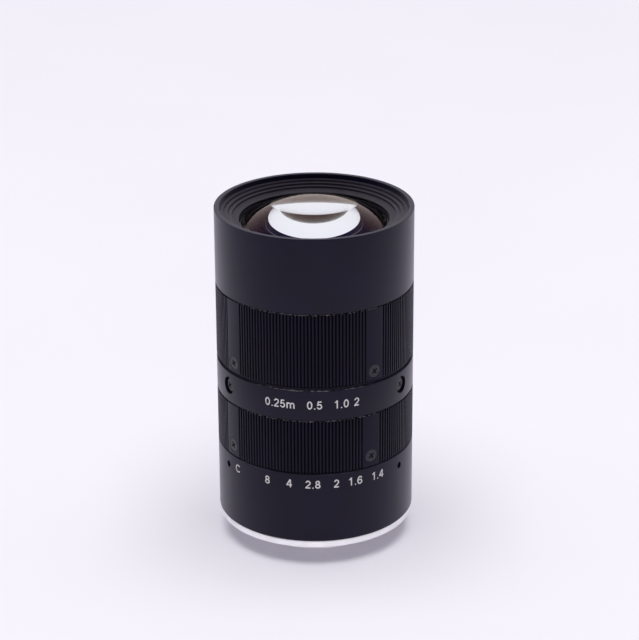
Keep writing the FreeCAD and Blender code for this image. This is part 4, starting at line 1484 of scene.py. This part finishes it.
@dataclass
class MiddleRing:
    """Fixed ring between the knurled ones, with a distance scale and three screws."""

    finishes: Finishes
    node: str = "middle_ring"
    screw_node: str = "middle_ring_screws"
    bore: float = 17.86 * MM
    edge: float = 0.12 * MM
    lip_radius: float = 18.95 * MM
    lip_height: float = 0.45 * MM
    number_drop: float = 2.9 * MM
    screw_azimuth: float = 59.8
    screw_count: int = 3
    screw_drop: float = 2.85 * MM
    recess_radius: float = 1.74 * MM
    recess_depth: float = 0.85 * MM
    head: CrossScrew = CrossScrew(radius=1.36 * MM, height=0.55 * MM, crown=0.12 * MM,
                                  bevel=0.1 * MM, cross_span=1.6 * MM)
    # The bright mark along the lip is partly rubbed wear and partly painted highlight.
    black: WearAndHighlightBlack = WearAndHighlightBlack()
    marks: tuple[Mark, ...] = (Mark("0.25m", -20.7), Mark("0.5", -0.4), Mark("1.0", 15.0),
                               Mark("2", 24.2))

    def build(self) -> None:
        """Build the ring, its numbers and its screws."""
        span = Span.of(self.node)
        printing = Printing()
        radius = span.radius - printing.proud
        shoulder = span.top - self.lip_height
        section = rounded([
            Corner(self.bore, span.bottom), Corner(radius, span.bottom, self.edge),
            Corner(radius, shoulder, self.edge), Corner(self.lip_radius, shoulder),
            Corner(self.lip_radius, span.top, self.edge / 2), Corner(self.bore, span.top)])
        ring = finished("middle_ring_body", turned_mesh(section))
        level = shoulder - self.screw_drop
        azimuths = evenly(self.screw_azimuth, self.screw_count)
        drill = Drill(self.recess_radius, self.recess_depth)
        seats = [outward_frame(azimuth, radius, level) for azimuth in azimuths]
        carve(ring, drill.cutter("counterbore", seats))
        dress(ring, replace(self.black, edge_level=shoulder).material())
        hand_over(ring, Body.FIXED, Slot.ANODISED, self.node)
        numbers = printing.build("distance_numbers", self.marks, radius,
                                 shoulder - self.number_drop)
        dress(numbers, self.finishes.paint)
        hand_over(numbers, Body.FIXED, Slot.ANODISED)
        face = radius - self.recess_depth + self.head.height
        screws = self.head.build("cap_screws", [outward_frame(azimuth, face, level)
                                                for azimuth in azimuths])
        dress(screws, self.finishes.steel)
        hand_over(screws, Body.FIXED, Slot.STEEL, self.screw_node)


@dataclass
class KnurledRing:
    """Turning ring with a straight knurl, four smooth pads and a lock screw in each.

    The pitch of the ribs and the step along a pad are in degrees.
    """

    finishes: Finishes
    body: Body
    node: str
    pad_azimuth: float
    screw_rise: float
    web_bore: float = 0.0
    web_height: float = 0.0
    bore: float = 17.9 * MM
    pads: int = 4
    grooves: int = 40
    rib_pitch: float = 1.98
    groove_width: float = 0.4 * MM
    groove_depth: float = 0.25 * MM
    shoulder: float = 0.04 * MM
    shoulder_break: tuple[int, int] = (3, 5)
    edge: float = 0.26 * MM
    pad_step: float = 0.5
    screw_sink: float = 0.03 * MM
    screw_gap: float = 0.03 * MM
    screw_clearance: float = 0.2 * MM
    hole_edge: float = 0.04 * MM
    screw: CrossScrew = CrossScrew()
    # Its material paints glints on the top edge and shade in the grooves.
    black: KnurlBlack = KnurlBlack()

    def groove(self, radius: float) -> list[Point]:
        """Outline of one groove, as (azimuth, depth) from its middle.

        Args:
            radius: outer radius of the ring.

        Returns:
            The points, from one side to the other.
        """
        half = math.degrees(self.groove_width / 2 / radius)
        soft = math.degrees(self.shoulder / radius)
        across, down = self.shoulder_break
        side = [(half + soft, 0.0), (half + soft / across, self.shoulder / down),
                (half - soft / 2, self.shoulder), (soft / 2, self.groove_depth)]
        return [(-offset, depth) for offset, depth in side] + [
            (offset, depth) for offset, depth in reversed(side)]

    def outline(self, radius: float) -> list[Point]:
        """Outline of the whole turn, as (azimuth, depth below the rim).

        Args:
            radius: outer radius of the ring.

        Returns:
            The points, once round.
        """
        points: list[Point] = []
        quadrant = FULL_TURN / self.pads
        stretch = self.rib_pitch * (self.grooves - 1)
        for pad in evenly(self.pad_azimuth, self.pads):
            first = pad + (quadrant - stretch) / 2
            for index in range(self.grooves):
                middle = first + self.rib_pitch * index
                points.extend((middle + offset, depth) for offset, depth in self.groove(radius))
            start = points[-1][0]
            end = pad + quadrant + (quadrant - stretch) / 2 + self.groove(radius)[0][0]
            steps = int((end - start) / self.pad_step)
            points.extend((start + (end - start) * step / steps, 0.0)
                          for step in range(1, steps))
        return points

    def blank(self, span: Span) -> bmesh.types.BMesh:
        """Knurled ring without its holes.

        Args:
            span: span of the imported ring.

        Returns:
            The ring as a closed mesh.
        """
        outline = self.outline(span.radius)
        outer = [(span.bottom, span.radius - self.edge), (span.bottom + self.edge, span.radius),
                 (span.top - self.edge, span.radius), (span.top, span.radius - self.edge)]
        web = span.top - self.web_height
        inner = [(web, self.bore), (span.bottom, self.bore)]
        if self.web_height:
            inner = [(span.top, self.web_bore), (web, self.web_bore), *inner]
        work = bmesh.new()
        loops = []
        for level, limit in outer:
            loops.append([work.verts.new(on_turn(azimuth, min(span.radius - depth, limit), level))
                          for azimuth, depth in outline])
        for level, radius in inner:
            loops.append([work.verts.new(on_turn(azimuth, radius, level))
                          for azimuth, _ in outline])
        for index, loop in enumerate(loops):
            join_loops(work, loop, loops[(index + 1) % len(loops)])
        return work

    def build(self) -> None:
        """Build the ring and its lock screws."""
        span = Span.of(self.node)
        ring = finished(f"{self.node}_body", self.blank(span))
        level = span.bottom + self.screw_rise
        azimuths = evenly(self.pad_azimuth, self.pads)
        drill = Drill(self.screw.radius + self.screw_gap,
                      self.screw.height + self.screw_clearance, edge=self.hole_edge)
        seats = [outward_frame(azimuth, span.radius, level) for azimuth in azimuths]
        carve(ring, drill.cutter(f"{self.node}_drill", seats))
        # The painted glints sit on the top chamfer; the painted groove shade follows the ring's
        # rim radius.
        black = replace(self.black, name=f"{self.node}_black", rim=span.radius,
                        edge_level=span.top - self.edge / 2)
        dress(ring, black.material())
        hand_over(ring, self.body, Slot.ANODISED, self.node)
        face = span.radius - self.screw_sink
        screws = self.screw.build(f"{self.node}_screws", [
            outward_frame(azimuth, face, level) for azimuth in azimuths])
        dress(screws, self.finishes.steel)
        hand_over(screws, self.body, Slot.STEEL, f"{self.node}_lock_screws")


@dataclass
class FrontBarrel:
    """Smooth front barrel with its rim, and the stepped bezel round the glass."""

    finishes: Finishes
    barrel_node: str = "front_barrel"
    bezel_node: str = "front_bezel"
    bore: float = 16.8 * MM
    rim_width: float = 1.0 * MM
    seat_depth: float = 2.7 * MM
    seat_gap: float = 0.02 * MM
    edge: float = 0.12 * MM
    recess_depth: float = 0.92 * MM
    bezel_bore: float = 14.65 * MM
    ledge_radius: float = 15.95 * MM
    ledge_drop: float = 2.59 * MM
    step_count: int = 3
    step_width: float = 0.85 * MM
    step_rise: float = 0.4 * MM
    step_edge: float = 0.05 * MM
    groove_drop: float = 0.22 * MM
    groove_height: float = 0.36 * MM
    groove_depth: float = 0.3 * MM
    skirt_radius: float = 15.43 * MM
    glass_gap: float = 0.1 * MM

    def build(self) -> None:
        """Build the barrel and the bezel."""
        span = Span.of(self.barrel_node)
        recess = span.radius - self.rim_width
        section = rounded([
            Corner(self.bore, span.bottom), Corner(span.radius, span.bottom, self.edge),
            Corner(span.radius, span.top, self.edge), Corner(recess, span.top, self.edge),
            Corner(recess, span.top - self.seat_depth),
            Corner(self.bore, span.top - self.seat_depth)])
        barrel = finished("front_barrel_body", turned_mesh(section))
        dress(barrel, self.finishes.satin)
        hand_over(barrel, Body.BLOCK, Slot.ANODISED, self.barrel_node)
        outer = recess - self.seat_gap
        bezel = finished("bezel", turned_mesh(self.bezel_section(span, outer)))
        dress(bezel, self.finishes.bezel)
        hand_over(bezel, Body.BLOCK, Slot.ANODISED, self.bezel_node)

    def bezel_section(self, span: Span, outer: float) -> list[Point]:
        """Section of the stepped bezel.

        Args:
            span: span of the front barrel.
            outer: outer radius of the bezel.

        Returns:
            The (radius, level) points.
        """
        seat = span.top - self.seat_depth
        corners = [Corner(outer, seat), Corner(outer, span.top - self.recess_depth)]
        for index in range(self.step_count):
            inner = self.ledge_radius + self.step_width * (self.step_count - 1 - index)
            level = span.top - self.recess_depth - self.step_rise * index
            corners.append(Corner(inner, level, self.step_edge))
            corners.append(Corner(inner, level - self.step_rise, self.step_edge / 2))
        ledge = span.top - self.ledge_drop
        groove_top = ledge - self.groove_drop
        groove_floor = groove_top - self.groove_height
        groove = self.bezel_bore + self.groove_depth
        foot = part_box(self.bezel_node)[0].z
        corners.extend([
            Corner(self.bezel_bore, ledge, self.step_edge), Corner(self.bezel_bore, groove_top),
            Corner(groove, groove_top), Corner(groove, groove_floor),
            Corner(self.bezel_bore, groove_floor, self.step_edge),
            Corner(self.bezel_bore, foot + self.glass_gap), Corner(groove, foot),
            Corner(self.skirt_radius, foot), Corner(self.skirt_radius, seat)])
        return rounded(corners)


@dataclass(frozen=True)
class GlassElement:
    """One glass element between two spheres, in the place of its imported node.

    A radius of curvature is positive where its centre lies below the surface.
    """

    node: str
    upper: float
    lower: float
    bare_edge: bool = False
    clear_margin: float = 1.2 * MM
    edge_width: float = 0.3 * MM
    edge_tilt: float = 0.1
    steps: int = 40
    segments: int = 192

    def surface(self, side: Side, span: Span) -> list[Point]:
        """Points of one side, from the axis to the edge.

        Args:
            side: the side to work out.
            span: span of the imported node.

        Returns:
            The (radius, level) points.
        """
        curve = self.upper if side is Side.UPPER else -self.lower
        bulges = curve > 0
        reach = span.radius if bulges else span.radius - self.clear_margin
        ball = abs(curve)
        rest = span.top if side is Side.UPPER else span.bottom
        anchor = ball if bulges else math.sqrt(ball * ball - reach * reach)
        points = []
        for step in range(self.steps + 1):
            radius = reach * step / self.steps
            sag = math.sqrt(ball * ball - radius * radius) - anchor
            points.append((radius, rest + side.value * (sag if bulges else -sag)))
        if not bulges:
            points.append((span.radius, rest))
        return points

    def build(self, finishes: Finishes, body: Body) -> None:
        """Build the element and seat it.

        Args:
            finishes: where its glass and its edge come from.
            body: body that it moves with.
        """
        span = Span.of(self.node)
        section = self.surface(Side.UPPER, span) + self.surface(Side.LOWER, span)[::-1]
        piece = finished(f"{self.node}_glass", turned_mesh(section, self.segments))
        dress(piece, finishes.glass, finishes.ground if self.bare_edge else finishes.edge)
        for face in piece.data.polygons:
            outermost = Vector(face.center).to_2d().length > span.radius - self.edge_width
            face.material_index = int(outermost and abs(face.normal.z) < self.edge_tilt)
        hand_over(piece, body, Slot.GLASS, self.node)


@dataclass
class Optics:
    """All the glass of the lens."""

    finishes: Finishes
    elements: tuple[GlassElement, ...] = (
        GlassElement("first_element", 24.0 * MM, -200.0 * MM, bare_edge=True),
        GlassElement("second_element", 32.0 * MM, 14.5 * MM),
        GlassElement("third_element", -40.0 * MM, 26.0 * MM),
        GlassElement("fourth_element", 30.0 * MM, -38.0 * MM),
        GlassElement("fifth_element", 20.0 * MM, 60.0 * MM),
        GlassElement("sixth_element", -14.0 * MM, 28.0 * MM),
        GlassElement("seventh_element", 28.0 * MM, -26.0 * MM),
        GlassElement("eighth_element", 40.0 * MM, -40.0 * MM))

    def build(self) -> None:
        """Build each element."""
        for element in self.elements:
            element.build(self.finishes, Body.BLOCK)


@dataclass
class InnerParts:
    """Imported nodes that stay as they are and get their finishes."""

    finishes: Finishes
    matt: tuple[str, ...] = ("main_barrel", "lens_tube", "front_cell", "rear_cell", "iris_base",
                             "iris_retaining_ring", "focus_ring_keeper", "rear_cell_lock_ring",
                             "rear_retaining_ring", "second_spacer", "third_spacer",
                             "fourth_spacer", "fifth_spacer", "rear_spacer")
    steel: tuple[str, ...] = ("guide_screw", "iris_link_pin")
    brass: tuple[str, ...] = ("iris_cam",)
    blade_prefix: str = "iris_blade_"

    def build(self) -> None:
        """Dress each node."""
        nodes = frame["nodes"]
        blades = [name for name in nodes if name.startswith(self.blade_prefix)]
        for names, material in ((self.matt, self.finishes.matt), (self.steel, self.finishes.steel),
                                (self.brass, self.finishes.brass), (blades, self.finishes.blade)):
            for name in names:
                dress(nodes[name], material)
                LOG.info("%s keeps its packed shape", name)


@dataclass(frozen=True)
class Camera:
    """Camera that looks at the lens as the photograph does."""

    distance: float = 448.936 * MM
    height: float = 229.557 * MM
    pitch: float = 22.4105
    yaw: float = 0.1190
    roll: float = -0.316
    focal_pixels: float = 2455.1
    picture_width: float = 639.0
    sensor: float = 36.0
    nearest: float = 10.0 * MM
    farthest: float = 50.0

    def build(self) -> None:
        """Build the camera and make it the scene's own."""
        data = bpy.data.cameras.new("camera")
        data.sensor_fit = "HORIZONTAL"
        data.sensor_width = self.sensor
        data.lens = self.focal_pixels / self.picture_width * self.sensor
        data.clip_start = self.nearest
        data.clip_end = self.farthest
        camera = bpy.data.objects.new("camera", data)
        pitch, yaw, roll = (math.radians(angle) for angle in (self.pitch, self.yaw, self.roll))
        ahead = Vector((math.sin(yaw) * math.cos(pitch), math.cos(yaw) * math.cos(pitch),
                        -math.sin(pitch)))
        right = Vector((math.cos(yaw), -math.sin(yaw), 0.0))
        level_up = right.cross(ahead)
        across = right * math.cos(roll) + level_up * math.sin(roll)
        upright = level_up * math.cos(roll) - right * math.sin(roll)
        turn = Matrix((across, upright, -ahead)).transposed().to_4x4()
        camera.matrix_world = Matrix.Translation((0.0, -self.distance, self.height)) @ turn
        bpy.context.scene.collection.objects.link(camera)
        bpy.context.scene.camera = camera
        LOG.info("camera stands %.0f mm in front of the lens", self.distance / MM)


@dataclass(frozen=True)
class Lamp:
    """Soft square lamp that faces a point."""

    name: str
    place: tuple[float, float, float]
    size: tuple[float, float]
    power: float
    target: tuple[float, float, float] = (0.0, 0.0, 35.0 * MM)

    def build(self) -> None:
        """Build the lamp."""
        data = bpy.data.lights.new(self.name, "AREA")
        data.shape = "RECTANGLE"
        data.size, data.size_y = self.size
        data.energy = self.power
        lamp = bpy.data.objects.new(self.name, data)
        lamp.location = self.place
        facing = Vector(self.target) - Vector(self.place)
        lamp.rotation_euler = facing.to_track_quat("-Z", "Y").to_euler()
        lamp.visible_glossy = False
        lamp.visible_transmission = False
        bpy.context.scene.collection.objects.link(lamp)


@dataclass(frozen=True)
class FloorPaint(Finish):
    """Pale dull paint of the floor."""

    name: str = "pale_floor"
    colour: Colour = (0.86, 0.84, 0.90)
    cloud: float = 60.0 * MM
    shade: float = 0.99
    roughness: float = 0.8
    specular: float = 0.1

    def inputs(self, graph: Graph, place: bpy.types.NodeSocket) -> dict[str, object]:
        """Spell out the inputs of the shader.

        Args:
            graph: node tree of the material.
            place: place on the object.

        Returns:
            A value or a socket for each input, by its name.
        """
        cloud = graph.spread(graph.noise(place, self.cloud))
        return {
            "Base Color": graph.blend(cloud, toned(self.colour, self.shade), self.colour),
            "Roughness": self.roughness,
            "Specular IOR Level": self.specular,
        }


@dataclass(frozen=True)
class Studio:
    """Pale floor, soft light and pale surroundings.

    The strengths of the surroundings are given in front of the lens and behind it, as
    light on the lens and as what the camera sees, directly or in metal and glass.
    """

    floor_radius: float = 3.0
    floor_segments: int = 128
    floor_paint: FloorPaint = FloorPaint()
    pale: Colour = (0.90, 0.885, 0.945)
    light: Range = (0.09, 0.55)
    sight: Range = (0.12, 1.0)
    crossing: Range = (-0.8, 0.2)
    lamps: tuple[Lamp, ...] = (
        Lamp("overhead", (0.0, -0.2, 2.5), (2.0, 2.0), 54.0),
        Lamp("front", (0.0, -1.2, 0.12), (0.8, 0.2), 5.8))

    def build(self) -> None:
        """Build the floor, the lamps and the surroundings."""
        self.build_floor()
        for lamp in self.lamps:
            lamp.build()
        self.build_world()
        LOG.info("studio has its floor, %d lamps and surroundings", len(self.lamps))

    def build_floor(self) -> None:
        """Build the round floor that the lens stands on."""
        work = bmesh.new()
        bmesh.ops.create_circle(work, cap_ends=True, radius=self.floor_radius,
                                segments=self.floor_segments)
        floor = finished("floor", work)
        dress(floor, self.floor_paint.material())

    def build_world(self) -> None:
        """Build surroundings that are pale behind the lens and look dim in front of it."""
        graph = Graph.of_world("studio")
        direction = graph.add("ShaderNodeTexCoord").outputs["Generated"]
        depth = graph.measures(direction)["Y"]
        shades = []
        for front, back in (self.light, self.sight):
            strength = graph.ramp(depth, *self.crossing, front, back)
            shade = graph.add("ShaderNodeBackground", {
                "Color": (*self.pale, 1.0), "Strength": strength})
            shades.append(shade.outputs["Background"])
        mix = graph.add("ShaderNodeMixShader", {"Fac": graph.seen(), 1: shades[0], 2: shades[1]})
        graph.close(mix.outputs["Shader"])
        bpy.context.scene.world = graph.owner


def main() -> None:
    """Build the looks of the lens, from the mount to the front glass."""
    logging.basicConfig(level=logging.INFO, format="%(name)s: %(message)s")
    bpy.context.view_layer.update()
    bpy.context.scene.view_settings.view_transform = "Standard"
    Camera().build()
    Studio().build()
    finishes = Finishes()
    MountFlange(finishes).build()
    ScaleRing(finishes).build()
    KnurledRing(finishes, Body.IRIS, "iris_ring", pad_azimuth=33.9,
                screw_rise=2.3 * MM).build()
    MiddleRing(finishes).build()
    KnurledRing(finishes, Body.FOCUS, "focus_ring", pad_azimuth=36.0, screw_rise=1.95 * MM,
                web_bore=16.84 * MM, web_height=1.8 * MM).build()
    FrontBarrel(finishes).build()
    Optics(finishes).build()
    InnerParts(finishes).build()


if __name__ == "__main__":
    main()
